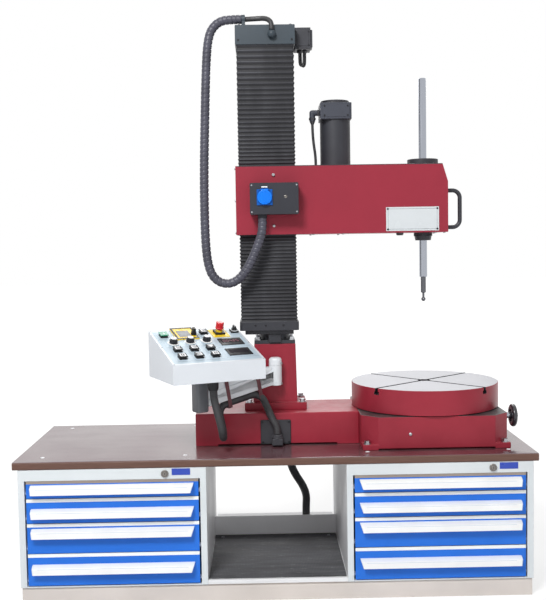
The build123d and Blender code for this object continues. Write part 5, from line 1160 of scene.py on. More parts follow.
class GRINDER_OT_cabinets(Operator):
    """Dress the worktop, the cabinets, the drawers and the open bay"""

    bl_idname = "grinder.cabinets"
    bl_label = "Cabinets and drawers"

    def execute(self, context):
        width = context.scene.grinder_sizes.sheet_round
        bay_half = 0.2675
        plinth_top = 0.0681
        film_share = 0.75

        def worktop_face(_, normal):
            return "worktop_film" if abs(normal.z) > film_share else "worktop_edge"

        # The side walls in the bay take the darker copy of the carcass paint: painted shade
        def carcass_face(centre, normal):
            in_bay = abs(centre.x) < bay_half and abs(normal.x) > SQUARE
            return "bay_grey" if in_bay else "carcass_grey"

        # Above the plinth, the bay's panel takes the paler copy: painted light
        def plinth_face(centre, _):
            return "cabinet_pale" if centre.z > plinth_top else "plinth_grey"

        softened("worktop", FINE_EDGE, "worktop", ["worktop_film", "worktop_edge"], worktop_face)
        softened("cabinet_carcasses", width, "carcass", ["carcass_grey", "bay_grey"], carcass_face)
        softened("bench_frame", width, "plinth", ["plinth_grey", "cabinet_pale"], plinth_face)
        for side in ("left", "right"):
            for number in range(1, 5):
                self.dress_drawer(f"{side}_drawer_{number}", width)
        self.dress_locks()
        self.lay_mat()
        self.press_caps()
        self.close_backs()
        return {"FINISHED"}

    def dress_drawer(self, node, width):
        """Blue front, pale strip, white grip with a cap at each end and a label rail; the caps are tinted as
        painted shade, and the top drawer's strip as a painted shadow.
        """
        front = DRAWER_FRONT / 1000
        sheet, strip_drop = 0.0121, 0.009
        low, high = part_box(node)
        top = high.z - strip_drop
        # The top drawer's strip is a painted shadow under the fascia
        strip, strip_tall = ("strip_dull", 10.4) if node.endswith("1") else ("strip_pale", 12.4)
        strip_wide, rail_inset, cap_thick, overhang, end_zone = 653, 22, 3, 1.6, 5
        grip = [vert.co for vert in frame["nodes"][node].data.vertices if vert.co.y < front - 0.005]
        left = min(point.x for point in grip) * 1000
        right = max(point.x for point in grip) * 1000
        rail = max(point.z for point in grip) * 1000
        middle = (low.x + high.x) * 500
        inner_slope, outer_slope = 0.34, 0.1

        def drawer_face(centre, _):
            if centre.y < front - 0.0002:
                return "grip_white"
            if centre.y > front + sheet:
                return "tray_zinc"
            return strip if centre.z > top - 0.0005 else "drawer_blue"

        def taper(bm):
            for vert in bm.verts:
                off = vert.co.x * 1000 - middle
                if vert.co.y < front - 0.0002 and abs(off) > (right - left) / 2 - end_zone:
                    slope = inner_slope if off * middle < 0 else outer_slope
                    vert.co.x += math.copysign(slope * (rail / 1000 - vert.co.z), -off)

        finishes = ["drawer_blue", strip, "grip_white", "tray_zinc"]
        softened(node, width, "drawer", finishes, drawer_face, taper)
        bm = bmesh.new()
        roof, brow, lip, heel = rail - 0.4, rail - 8.8, rail - 33.6, rail - 12
        back, nose = DRAWER_FRONT - 0.2, DRAWER_FRONT - 25.4
        outline = ((back, roof), (DRAWER_FRONT - 8.7, roof), (nose, brow), (nose, lip),
                   (DRAWER_FRONT - 22, lip), (back, heel))
        for end in (left - overhang, right + overhang - cap_thick):
            prism(bm, level_at(end, 0, 0) @ ACROSS, outline, 0, cap_thick)
        taper(bm)
        label_rail = (right - left - 2 * rail_inset, 0.5, 1.1)
        slab(bm, level_at((left + right) / 2, nose - 0.7, rail - 11.5), label_rail)
        strip_middle = top * 1000 + strip_tall / 2
        slab(bm, level_at(middle, DRAWER_FRONT + 0.8, strip_middle), (strip_wide, 0.8, strip_tall), 1)
        fitted(f"{node}_trim", bm, ["grip_cap", strip], BODY_OF[node], "drawer", HAIR_EDGE)

    def dress_locks(self):
        """A plain cylinder lock and a blank plate on each cabinet's fascia."""
        barrel = ((0, -2), (14.6, -2), (14.6, 0.6), (13.2, 1.8), (10.4, 1.8), (9.6, 0.7), (8.2, 0.7),
                  (7.8, 1.6), (0, 1.6))
        lock_x, lock_front, lock_z = 557, -322, 500
        plate_x, plate_z = 618, 506
        key_slot, plate = (1.8, 8.6, 0.5), (70, 25, 1.4)
        bm = bmesh.new()
        for left in CABINET_LEFTS:
            lock = facing(left + lock_x, lock_front, lock_z)
            turned(bm, lock, barrel, 36)
            slab(bm, moved(lock, 0, 0, 1.5), key_slot, 1)
            slab(bm, facing(left + plate_x, DRAWER_FRONT - 0.6, plate_z), plate, 2)
        finishes = ["lock_chrome", "screw_black", "badge_blue"]
        fitted("cabinet_locks", bm, finishes, "bench", "carcass", HAIR_EDGE)

    def lay_mat(self):
        """A ribbed rubber mat on the floor of the bay."""
        wide, deep, thick = 528, 540, 3.2
        middle_y, middle_z = -34, 85.6
        bm = bmesh.new()
        slab(bm, level_at(0, middle_y, middle_z), (wide, deep, thick))
        fitted("bay_mat", bm, ["mat_rubber"], "bench", "hose", SOFT_EDGE)

    def press_caps(self):
        """Plastic caps over the screws that hold the worktop down."""
        cap = ((0, -0.5), (8.5, -0.5), (8.5, 0.6), (7.2, 1.4), (0, 1.7))
        seat_z = 551
        bm = bmesh.new()
        for x in (-902, -351, 356, 905):
            for y in (-238, 345):
                turned(bm, at(x, y, seat_z), cap, 24)
        fitted("worktop_caps", bm, ["cap_white"], "bench", "worktop", HAIR_EDGE)

    def close_backs(self):
        """A lapped back panel on each cabinet."""
        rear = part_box("cabinet_carcasses")[1].y * 1000
        panel = (685, 1.6, 425)
        bm = bmesh.new()
        for left in CABINET_LEFTS:
            slab(bm, level_at(left + BACK_PANEL_X, rear + 0.4, BACK_PANEL_Z), panel)
        fitted("cabinet_backs", bm, ["carcass_grey"], "bench", "carcass", SMALL_EDGE)


class GRINDER_OT_column(Operator):
    """Fold the two bellows and dress the column's head and the lift motor"""

    bl_idname = "grinder.column"
    bl_label = "Column and bellows"

    def execute(self, context):
        sizes = context.scene.grinder_sizes
        self.fold("upper_bellows", sizes.upper_folds, sizes.fold_depth, sizes.fold_crowding)
        self.fold("lower_bellows", sizes.lower_folds, sizes.fold_depth, 0.0)
        pilot_line = route_line("pilot_guide", PILOT_ROUTE)
        pilot_reach, level_share = 0.0115, 0.999
        pilot_left, pilot_right, pilot_back, pilot_floor = -0.0925, 0.03, 0.002, 2.2135
        motor_tall = 0.0865
        lead_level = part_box("lift_motor")[1].z - motor_tall

        def is_pilot(centre, normal):
            across = pilot_left < centre.x < pilot_right
            near = across and centre.y < pilot_back and centre.z > pilot_floor
            if not near or abs(normal.z) >= level_share:
                return False
            return min((centre - spot).length for spot in pilot_line) < pilot_reach

        def is_lead(centre, _):
            return centre.z < lead_level

        softened("column_head", METAL_EDGE, "black_metal", ["head_grey"], drop=is_pilot)
        softened("lift_motor", METAL_EDGE, "black_metal", ["motor_black"], drop=is_lead)
        self.fit_lift_motor()
        return {"FINISHED"}

    def fit_lift_motor(self):
        """Lid of the lift motor's box, with a plug and two glands."""
        x, y = 138, 28.4
        lid_z, plug_z = 2193, 2151
        lid, plug = (50, 62, 1.6), (34, 9, 9)
        gland = ((0, -1), (9, -1), (9, 6), (7, 10), (5.2, 10), (0, 10))
        bm = bmesh.new()
        slab(bm, facing(x, y, lid_z), lid)
        slab(bm, facing(x, y, plug_z), plug, 1)
        for side in (-13, 13):
            turned(bm, at(x + side, MACHINE_Y, plug_z, "-Z"), gland, 20, 1)
        fitted("lift_motor_fittings", bm, ["motor_black", "bakelite"], "column", "black_metal", PLASTIC_EDGE)

    def fold(self, node, folds, depth, crowding):
        """One bellows, which stretches between the column and the arm."""
        low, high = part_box(node)
        tree = tree_named("bellows folds", bellows_tree)
        middle = (low + high) / 2
        obj = grown(f"{node}_folds", tree, {
            "Width": high.x - low.x, "Depth": high.y - low.y, "Bottom": low.z, "Top": high.z, "Folds": folds,
            "Fold Depth": depth, "Crowding": crowding,
            "Place": Vector((middle.x, middle.y, 0)), "Cloth": coat("bellows_cloth")})
        bm = bmesh.new()
        bm.from_mesh(obj.data)
        bmesh.ops.recalc_face_normals(bm, faces=bm.faces)
        if sum(face.normal.dot(face.calc_center_median() - middle) for face in bm.faces) < 0:
            bmesh.ops.reverse_faces(bm, faces=bm.faces)
        bm.to_mesh(obj.data)
        bm.free()
        wall = obj.modifiers.new("wall", "SOLIDIFY")
        wall.thickness = 0.0012
        wall.offset = -1.0
        settle(obj)
        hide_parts(node)
        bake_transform(obj)


class GRINDER_OT_arm(Operator):
    """Dress the arm, its motor, the socket box and the spindle"""

    bl_idname = "grinder.arm"
    bl_label = "Arm and spindle"

    def execute(self, context):
        width = context.scene.grinder_sizes.sheet_round
        outlet_face = -0.1292
        terminal_low, terminal_high = 1.863, 1.9304
        lead_right, lead_top = 0.2, 1.8615
        collar_z, collar_radius, ridge = 1391, 37.2, (1.6, 2.2, 12)

        def box_face(centre, _):
            return "frame_blue" if centre.y < outlet_face else "socket_black"

        def motor_face(centre, _):
            return "terminal_grey" if terminal_low < centre.z < terminal_high else "motor_black"

        def is_lead(centre, _):
            return centre.x < lead_right and centre.z < lead_top

        softened("arm_housing", width, "red_sheet", ["sheet_red"])
        softened("drive_sleeve", METAL_EDGE, "black_metal", ["black_paint"])
        softened("socket_box", SOFT_EDGE, "dark_box", ["socket_black", "frame_blue"], box_face)
        softened("socket_lid", PLASTIC_EDGE, "blue_plastic", ["lid_blue"])
        finishes = ["motor_black", "terminal_grey"]
        softened("spindle_motor", METAL_EDGE, "black_metal", finishes, motor_face, drop=is_lead)
        self.fit_motor()
        self.fit_plate()
        self.fit_socket()
        collar = at(SPINDLE_X, MACHINE_Y, collar_z)
        bars("collar_knurl", "spindle", "black_metal", "black_paint", collar, 48, collar_radius, ridge, 0)
        return {"FINISHED"}

    def fit_motor(self):
        """Lid of the terminal box, feet, gland nuts on the elbow and slots round the fan cap."""
        foot = ((0, 0), (9, 0), (9, 4), (7, 6), (0, 6))
        gland = ((0, -1), (10.5, -1), (10.5, 2), (7.5, 9), (5.4, 13), (0, 13))
        lid, lid_front = (108, 50, 2.4), 1.4
        feet_z, elbow_z, gland_z = 1676, 1877, 1862
        nut_radius, nut_tall, box_left = 14.5, 9, 205
        cap_z, cap_radius, slot = 1936.5, 58.1, (0.8, 5, 7)
        corners = [step * math.tau / 6 for step in range(6)]
        nut = [(nut_radius * math.cos(turn), nut_radius * math.sin(turn)) for turn in corners]
        bm = bmesh.new()
        slab(bm, facing(MOTOR_X, lid_front, TERMINAL_Z), lid, 2)
        for side in (-51, 51):
            turned(bm, at(MOTOR_X + side, MACHINE_Y, feet_z), foot, 18)
        prism(bm, at(box_left, MACHINE_Y, TERMINAL_Z, "-X"), nut, 0, nut_tall, 1)
        prism(bm, at(ELBOW_X, MACHINE_Y, elbow_z, "-Z"), nut, 0, nut_tall, 1)
        turned(bm, at(ELBOW_X, MACHINE_Y, gland_z, "-Z"), gland, 20, 1)
        finishes = ["motor_black", "bakelite", "terminal_grey"]
        fitted("motor_fittings", bm, finishes, "arm", "black_metal", CAP_EDGE)
        cap = at(MOTOR_X, MACHINE_Y, cap_z)
        bars("motor_cap_slots", "arm", "black_metal", "bakelite", cap, 36, cap_radius, slot, 0)

    def fit_plate(self):
        """The blank plate with a drawn frame, the seam of the arm's top and the stop under the arm."""
        plate, seam = (213, 96, 1.6), (825, 2.4, 1)
        frame_wide, frame_tall, line = 197, 81, 0.9
        seam_x, seam_z = 275.5, 1672.6
        stop_x, stop_y = 520, -20
        stop = ((0, -1), (15, -1), (15, 7), (12, 11), (0, 11))
        bm = bmesh.new()
        slab(bm, facing(PLATE_X, ARM_FRONT - 0.7, PLATE_Z), plate)
        face = facing(PLATE_X, ARM_FRONT - 1.6, PLATE_Z)
        for side in (-0.5, 0.5):
            slab(bm, moved(face, 0, side * frame_tall), (frame_wide + 1, line, 0.3), 1)
        for side in (-0.5, 0.5):
            slab(bm, moved(face, side * frame_wide, 0), (line, frame_tall + line, 0.3), 1)
        slab(bm, facing(seam_x, ARM_FRONT - 0.2, seam_z), seam, 2)
        turned(bm, at(stop_x, stop_y, ARM_FLOOR, "-Z"), stop, 28, 2)
        fitted("arm_fittings", bm, ["plate_white", "print_grey", "bakelite"], "arm", "red_sheet")

    def fit_socket(self):
        """Ring and finger lip on the lid, and the lug, the lamp and the front plate of the outlet box."""
        lid_front, lid_z, lip_z = -145.2, 1545, 1519.5
        lug_front, lug_z = -138, 1585
        box_front, box_x, box_z = -129, 11, 1540
        lamp_x, lamp_z = 56, 1547
        lip, lug, plate = (20, 4, 3), (24, 5, 5), (190, 122, 0.8)
        ring = ((22, -0.4), (22, 0.5), (19.5, 0.5), (19.5, -0.4))
        lamp = ((0, -1), (6.5, -1), (6.5, 1.2), (5, 2.2), (3.8, 2.2), (3.4, 1.2), (0, 1.2))
        bm = bmesh.new()
        turned(bm, facing(OUTLET_X, lid_front, lid_z), ring, 40)
        slab(bm, facing(OUTLET_X, lid_front, lip_z), lip)
        fitted("lid_fittings", bm, ["lid_blue"], "socket_lid", "blue_plastic", SMALL_EDGE)
        bm = bmesh.new()
        slab(bm, facing(OUTLET_X, lug_front, lug_z), lug)
        turned(bm, facing(lamp_x, box_front, lamp_z), lamp, 24, 1)
        slab(bm, facing(box_x, box_front - 0.3, box_z), plate, 2)
        finishes = ["cap_white", "lock_chrome", "socket_black"]
        fitted("socket_fittings", bm, finishes, "arm", "dark_box", SMALL_EDGE)


class GRINDER_OT_console(Operator):
    """Dress the console, its controls and the arm that carries it"""

    bl_idname = "grinder.console"
    bl_label = "Console"

    def execute(self, context):
        width = context.scene.grinder_sizes.sheet_round
        stand_x, stand_y, stand_reach = -0.29, -0.219, 0.036
        console_floor = 0.8465
        to_panel = PANEL.inverted()
        display_half, stop_half, switch_half, dial_reach = (49, 31), (36, 38), (47, 53), 21
        panel_low, panel_high = -0.5, 0.2
        base_low, base_high = 2.2, 12.2

        # Faces near the stand take the grey that holds painted shade from the console
        def arm_face(centre, _):
            near = math.hypot(centre.x - stand_x, centre.y - stand_y)
            return "stand_grey" if near < stand_reach else "bracket_white"

        def within(u, v, spot, half):
            return abs(u - spot[0]) < half[0] and abs(v - spot[1]) < half[1]

        def console_face(centre, normal):
            u, v, w = (to_panel @ centre) * 1000
            if w < panel_low:
                return "button_black" if centre.z < console_floor else "console_white"
            if w < panel_high:
                return "panel_film" if normal.dot(PANEL_OUT) > 0.99 else "console_white"
            if any(within(u, v, spot, display_half) for spot in DISPLAY_SPOTS):
                return "button_black"
            if any(math.hypot(u - spot[0], v - spot[1]) < dial_reach for spot in KNOB_SPOTS):
                return "cap_white"
            stop_plate = within(u, v, STOP_SPOT, stop_half) and (w < base_low or w > base_high)
            switch_plate = within(u, v, SWITCH_PLATE_SPOT, switch_half)
            return "plate_yellow" if stop_plate or switch_plate else "button_black"

        softened("console_bracket", METAL_EDGE, "grey_metal", ["bracket_white"])
        softened("console_arm", width, "grey_metal", ["bracket_white", "stand_grey"], arm_face)
        finishes = ["console_white", "panel_film", "button_black", "cap_white", "plate_yellow"]
        softened("console_box", PLASTIC_EDGE, "console", finishes, console_face)
        self.fit_panel()
        self.fit_knobs()
        self.fit_buttons()
        self.fit_stop_and_selector()
        self.fit_straps()
        self.fit_web()
        return {"FINISHED"}

    def fit_panel(self):
        """Printed lines, display windows with digits and keys, and the switch plate's frame and window."""
        lines = ((293, 127, 132), (293, 36, 132), (122, 28, 190), (122, 152, 200), (294, 213, 132))
        sides = ((0, 47.5, 92, 9), (0, -47.5, 92, 9), (-42, 0, 8, 92), (42, 0, 8, 92))
        window, key, switch_window = (78, 30, 0.6), (7, 4, 0.8), (50, 56, 0.9)
        key_gap, digit_gap, window_rise, key_drop, bezel = 15, 14, 4, 21, 3.1
        bm = bmesh.new()
        for u, v, wide in lines:
            slab(bm, panel_at(u, v, 0.1), (wide, 0.7, 0.3))
        for u, v in DISPLAY_SPOTS:
            slab(bm, panel_at(u, v + window_rise, bezel), window, 1)
            for step in range(-2, 3):
                slab(bm, panel_at(u + key_gap * step, v - key_drop, bezel), key, 3)
        u, v = DISPLAY_SPOTS[0]
        for step, digit in zip(range(-2, 3), "00425"):
            self.draw_digit(bm, panel_at(u + digit_gap * step, v + window_rise, bezel + 0.3), digit)
        u, v = SWITCH_PLATE_SPOT
        for du, dv, wide, tall in sides:
            slab(bm, panel_at(u + du, v + dv, 5.2), (wide, tall, 0.8), 3)
        slab(bm, panel_at(u - 5, v - 6, 5.3), switch_window, 4)
        finishes = ["print_grey", "display_dark", "digit_red", "button_black", "window_grey"]
        fitted("panel_fittings", bm, finishes, "console", "console", PRINT_EDGE)

    def draw_digit(self, bm, where, digit):
        """A seven bar figure."""
        lit = {"0": "abcdef", "2": "abged", "4": "fgbc", "5": "afgcd"}[digit]
        level = {"a": (0, 8), "g": (0, 0), "d": (0, -8)}
        upright = {"b": (4, 4), "c": (4, -4), "f": (-4, 4), "e": (-4, -4)}
        length, line, thick = 6.4, 1.5, 0.3
        for bar in lit:
            if bar in level:
                slab(bm, moved(where, *level[bar], 0.1), (length, line, thick), 2)
            else:
                slab(bm, moved(where, *upright[bar], 0.1), (line, length, thick), 2)

    def fit_knobs(self):
        """Flutes, white caps with a pointer, and the dials of the three speed knobs with their ticks."""
        skirt = ((12, 4), (15.6, 4), (15.6, 15), (14.6, 16.6), (12, 17))
        cap = ((0, 22), (11.4, 22), (11.4, 23), (10.4, 24), (0, 24.4))
        ring = ((15, 1.8), (22.6, 1.8), (22.6, 2.8), (22, 3.2), (15, 3.2))
        flute, tick = (1.4, 2.2, 10), (3.2, 0.8, 0.3)
        start, sweep = math.radians(-45), math.radians(270)
        for number, (u, v) in enumerate(KNOB_SPOTS, 1):
            where = panel_at(u, v)
            body = f"speed_knob_{number}"
            bars(f"knob_flutes_{number}", body, "black_plastic", "bakelite", where, 24, 15.6, flute, 10)
            bm = bmesh.new()
            turned(bm, where, skirt, 40, 1)
            turned(bm, where, cap, 32)
            slab(bm, panel_at(u, v + 5.5, 24.3), (1.6, 9, 0.6), 1)
            fitted(f"knob_cap_{number}", bm, ["cap_white", "button_black"], body, "black_plastic")
            bm = bmesh.new()
            turned(bm, where, ring, 48)
            fitted(f"dial_ring_{number}", bm, ["grip_white"], "console", "console", HAIR_EDGE)
            bars(f"dial_ticks_{number}", "console", "console", "print_grey", where, 11, 19, tick, 3.3, start,
                 sweep)

    def fit_buttons(self):
        """A key cap with a plain sign on each push button."""
        cap, cap_level = (32, 32, 3.6), 11.8
        sign_level, sign_thick = 13.8, 0.6
        sign_low, sign_high = sign_level - sign_thick / 2, sign_level + sign_thick / 2
        arrow_head = ((-11, -3.4), (0, 10.6), (11, -3.4))

        # Strokes of each sign by place, width and height, and the sign of each button with its turn
        strokes = {
            "start": ((0, 0, 3.6, 16),),
            "arrow": ((0, -9.4, 22, 4.2),),
            "comb": ((-8.6, 0, 4.4, 22.4), (2, 9.2, 17, 4), (1, 0, 15, 4), (2, -9.2, 17, 4)),
            "frame": ((0, 9.2, 22.4, 4), (0, -9.2, 22.4, 4), (-9.2, 0, 4, 15), (9.2, 0, 4, 15),
                      (0, 0, 9, 3.6)),
        }
        signs = (("start", 0), ("comb", 0), ("comb", 0), ("comb", 0), ("arrow", 180), ("frame", 90),
                 ("comb", 180), ("frame", 0))
        for number, ((u, v), (sign, turn)) in enumerate(zip(BUTTON_SPOTS, signs), 1):
            shade = "green" if number == 1 else "black"
            where = panel_at(u, v) @ Matrix.Rotation(math.radians(turn), 4, "Z")
            bm = bmesh.new()
            if sign == "arrow":
                prism(bm, where, arrow_head, sign_low, sign_high)
            for x, y, wide, tall in strokes[sign]:
                slab(bm, moved(where, x, y, sign_level), (wide, tall, sign_thick))
            slab(bm, panel_at(u, v, cap_level), cap, 1)
            finishes = ["cap_white", f"button_{shade}"]
            body, slot = f"push_button_{number}", f"{shade}_plastic"
            fitted(f"button_sign_{number}", bm, finishes, body, slot, HAIR_EDGE)

    def fit_stop_and_selector(self):
        """The stop button's rim, crown and base, and the selector's mark and ring."""
        rim = ((14, 23), (17.2, 23.6), (17.2, 27), (15.8, 29))
        crown = ((0, 49.6), (11, 49.6), (11, 50.2), (0, 50.8))
        ring = ((11.5, 6.8), (15.4, 6.8), (15.4, 9.2), (14.4, 10), (11.5, 10))
        mark, mark_level = (1.6, 16, 0.8), 26.6
        base, base_level = (40, 40, 8), 6
        bm = bmesh.new()
        turned(bm, panel_at(*STOP_SPOT), rim, 40)
        turned(bm, panel_at(*STOP_SPOT), crown, 40)
        fitted("stop_rim", bm, ["stop_red"], "estop_button", "red_plastic", SMALL_EDGE)
        bm = bmesh.new()
        slab(bm, panel_at(*SELECTOR_SPOT, mark_level), mark)
        fitted("selector_mark", bm, ["cap_white"], "selector_switch", "black_plastic", HAIR_EDGE)
        bm = bmesh.new()
        slab(bm, panel_at(*STOP_SPOT, base_level), base)
        turned(bm, panel_at(*SELECTOR_SPOT), ring, 40, 1)
        fitted("control_bases", bm, ["button_black", "bracket_white"], "console", "console", SOFT_EDGE)

    def fit_straps(self):
        """The straps that hold the hose under the arm."""
        deep, thick, arm_z = 17, 2, 795
        top_wide, top_half, foot_wide, foot_half = 38.4, 18.2, 32, 15.5
        along = ARM_RUN.normalized()
        across = Vector((-along.y, along.x, 0)).normalized()
        bm = bmesh.new()

        # Each strap's place along the arm, its foot's height and shift, and its top's height
        for x, low, shift, high in ((-187, -33, 0, 91), (-68, -38.5, 4.5, 65)):
            share = (SWING_X - x) / -ARM_RUN.x
            where = Matrix((across, along.cross(across), along)).transposed().to_4x4()
            where.translation = mm(x, SWING_Y + ARM_RUN.y * share, arm_z + ARM_RUN.z * share)
            for y, z, wide in ((0, high, top_wide), (shift, low, foot_wide)):
                slab(bm, moved(where, y, z), (wide, thick, deep))
            for side in (-1, 1):
                top = Vector((side * top_half, high))
                foot = Vector((shift + side * foot_half, low))
                tilt = Matrix.Rotation(math.atan2(foot.x - top.x, top.y - foot.y), 4, "Z")
                slab(bm, moved(where, *(top + foot) / 2) @ tilt, (thick, (top - foot).length + 1.6, deep))
        fitted("hose_straps", bm, ["strap_red"], "console_support", "hose", PLASTIC_EDGE)

    def fit_web(self):
        """The web on top of the console's arm, and the gland nut of the hose."""
        outline = ((26, 838), (330, 782), (330, 843), (98, 843), (92, 862), (26, 864))
        nut = ((14, 0), (21, 0), (21, 19), (19.5, 22), (17.5, 29), (14, 30))
        level = Vector((ARM_RUN.x, ARM_RUN.y, 0)).normalized()
        up = Vector((0, 0, 1))
        where = Matrix((level, up, level.cross(up))).transposed().to_4x4()
        where.translation = mm(SWING_X, SWING_Y, 0)
        bm = bmesh.new()
        prism(bm, where, outline, -14, 14)
        fitted("arm_web", bm, ["bracket_white"], "console_support", "grey_metal", SOFT_EDGE)
        x, y, z = CONSOLE_HOSE_ROUTE[0]
        bm = bmesh.new()
        turned(bm, at(x, y, z + 1, "-Z"), nut, 32)
        fitted("console_gland", bm, ["button_black"], "console", "hose", SMALL_EDGE)


class GRINDER_OT_hoses(Operator):
    """Lay the conduit, the hoses and the leads along their routes"""

    bl_idname = "grinder.hoses"
    bl_label = "Hoses and leads"

    def execute(self, context):
        sizes = context.scene.grinder_sizes
        pitch, step = sizes.wrap_pitch, sizes.wrap_step
        conduit_radius, gap_share, lean = 0.018, 0.16, 0.0006
        supply_radius, bench_radius, spacing = 0.0148, 0.017, 0.003
        pilot_radius, motor_radius, lift_radius = 0.01, 0.0055, 0.004

        def wrap(reach, angle):
            turn = (reach / pitch - angle / math.tau) % 1.0
            gap = min(1.0, min(turn, 1.0 - turn) / gap_share)
            return conduit_radius - step * (1.0 - gap) - lean * turn

        conduit, line, length = hose(
            "conduit", CONDUIT_ROUTE, conduit_radius, pitch / 9, "wrap_black", 24, wrap)
        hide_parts("conduit_hose")
        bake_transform(conduit)

        upper, line, length = hose(
            "console_supply", CONSOLE_HOSE_ROUTE, supply_radius, spacing, "hose_black")
        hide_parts("console_hose")
        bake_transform(upper)
        lower, line, length = hose("bed_supply", BED_HOSE_ROUTE, supply_radius, spacing, "hose_black")
        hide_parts("console_hose")
        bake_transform(lower)

        bench, line, length = hose("bench_supply", BENCH_HOSE_ROUTE, bench_radius, spacing, "hose_black")
        seat(bench, "bench", "hose", "bench_hose")

        pilot, line, length = hose("pilot_lead", PILOT_ROUTE, pilot_radius, spacing, "lead_black", 20)
        seat(pilot, "column", "black_metal", "column_head")
        motor, line, length = hose("motor_lead", MOTOR_LEAD_ROUTE, motor_radius, spacing, "lead_black", 14)
        seat(motor, "arm", "black_metal", "spindle_motor")
        for name, side in (("lift_lead_front", -1), ("lift_lead_back", 1)):
            near = 129 + 4 * side
            y = MACHINE_Y + 8 * side
            loop = ((0, 2150), (0, 2118), (1, 2094), (9, 2086), (17, 2094), (18, 2118), (18, 2150))
            route = [(near + x, y, z) for x, z in loop]
            lead, line, length = hose(name, route, lift_radius, 0.002, "lead_black", 12)
            seat(lead, "column", "black_metal", "lift_motor")
        return {"FINISHED"}


class GRINDER_OT_screws(Operator):
    """Set the socket head screws of each body"""

    bl_idname = "grinder.screws"
    bl_label = "Screws"

    def execute(self, context):
        head = context.scene.grinder_sizes.screw_head
        self.set_arm(head)
        self.set_column(head)
        self.set_bench()
        corners = [panel_at(u, v).translation * 1000 for u in (6, 366) for v in (6, 157, 308)]
        spots = [(*corner, tuple(PANEL_OUT), 0.0034) for corner in corners]
        screws("console_screws", "console", spots, "screw_zinc", 0.2)
        return {"FINISHED"}

    def set_arm(self, head):
        """Screws of the arm's sheets, its outlet box, its plate and the motor's terminal box."""
        box_front, arm_left, arm_back = -129.6, -142, 201
        spots = [(9.5, ARM_FRONT - 0.5, 1637, FRONT, 0.0062), (9.5, ARM_FRONT - 0.5, 1433.5, FRONT, 0.0055)]
        for z in (1408, 1536.5, 1664):
            spots += [(arm_left, y, z, LEFT, 0.0055) for y in (-48, 190)]
        for x in (168, 287, 660, 696):
            spots += [(x, y, ARM_FLOOR, DOWN, head) for y in (-46, 188)]
        for x in (-77.5, 99.5):
            spots += [(x, box_front, z, FRONT, 0.0032) for z in (1487.5, 1592.5)]
        for x in (-110, 160, 430, 690):
            spots += [(x, arm_back, z, BACK, 0.0045) for z in (1410, 1663)]
        screws("arm_screws", "arm", spots)
        spots = []
        for x in (-99.5, 99.5):
            spots += [(PLATE_X + x, ARM_FRONT - 1.4, PLATE_Z + z, FRONT, 0.0038) for z in (-41, 41)]
        for x in (-47, 47):
            spots += [(MOTOR_X + x, 0, TERMINAL_Z + z, FRONT, 0.0036) for z in (-19, 19)]
        screws("arm_dark_screws", "arm", spots, "screw_black")

    def set_column(self, head):
        """Screws of the column's foot, of its head's top and front, and of the lift motor's lid."""
        head_top = 2236
        spots = [(x, -32, 1032, FRONT, 0.004) for x in (-72, -30, 42)]
        spots += [(x, y, head_top, UP, head) for x in (-118, 88) for y in (-18, 160)]
        spots += [(x, -33, 2176, FRONT, 0.004) for x in (-122, 92)]
        spots += [(x, 27.4, z, FRONT, 0.003) for x in (113, 163) for z in (2166, 2220)]
        screws("column_screws", "column", spots, "screw_black")

    def set_bench(self):
        """Screws of the hose's cover, the bay, the table's base, the bracket and the cabinets' backs."""
        bay_floor = 87.2
        bracket_out = (0.906, -0.423, 0)
        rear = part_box("cabinet_carcasses")[1].y * 1000 + 1.2
        spots = [(x, -86, z, FRONT, 0.0045) for x in (-50, 56) for z in (565, 646)]
        screws("bench_dark_screws", "bench", spots, "screw_black")
        spots = [(x, 195, bay_floor, UP, 0.007) for x in (-230, 230)]
        spots += [(525.8, -219, 613, FRONT, 0.006)]
        spots += [(29.7, -37.1, z, bracket_out, 0.005) for z in (793.5, 876)]
        for left in CABINET_LEFTS:
            for x in (-332.5, 0, 332.5):
                row = left + BACK_PANEL_X + x
                spots += [(row, rear, BACK_PANEL_Z + z, BACK, 0.0045) for z in (-202.5, 0, 202.5)]
        screws("bench_screws", "bench", spots)


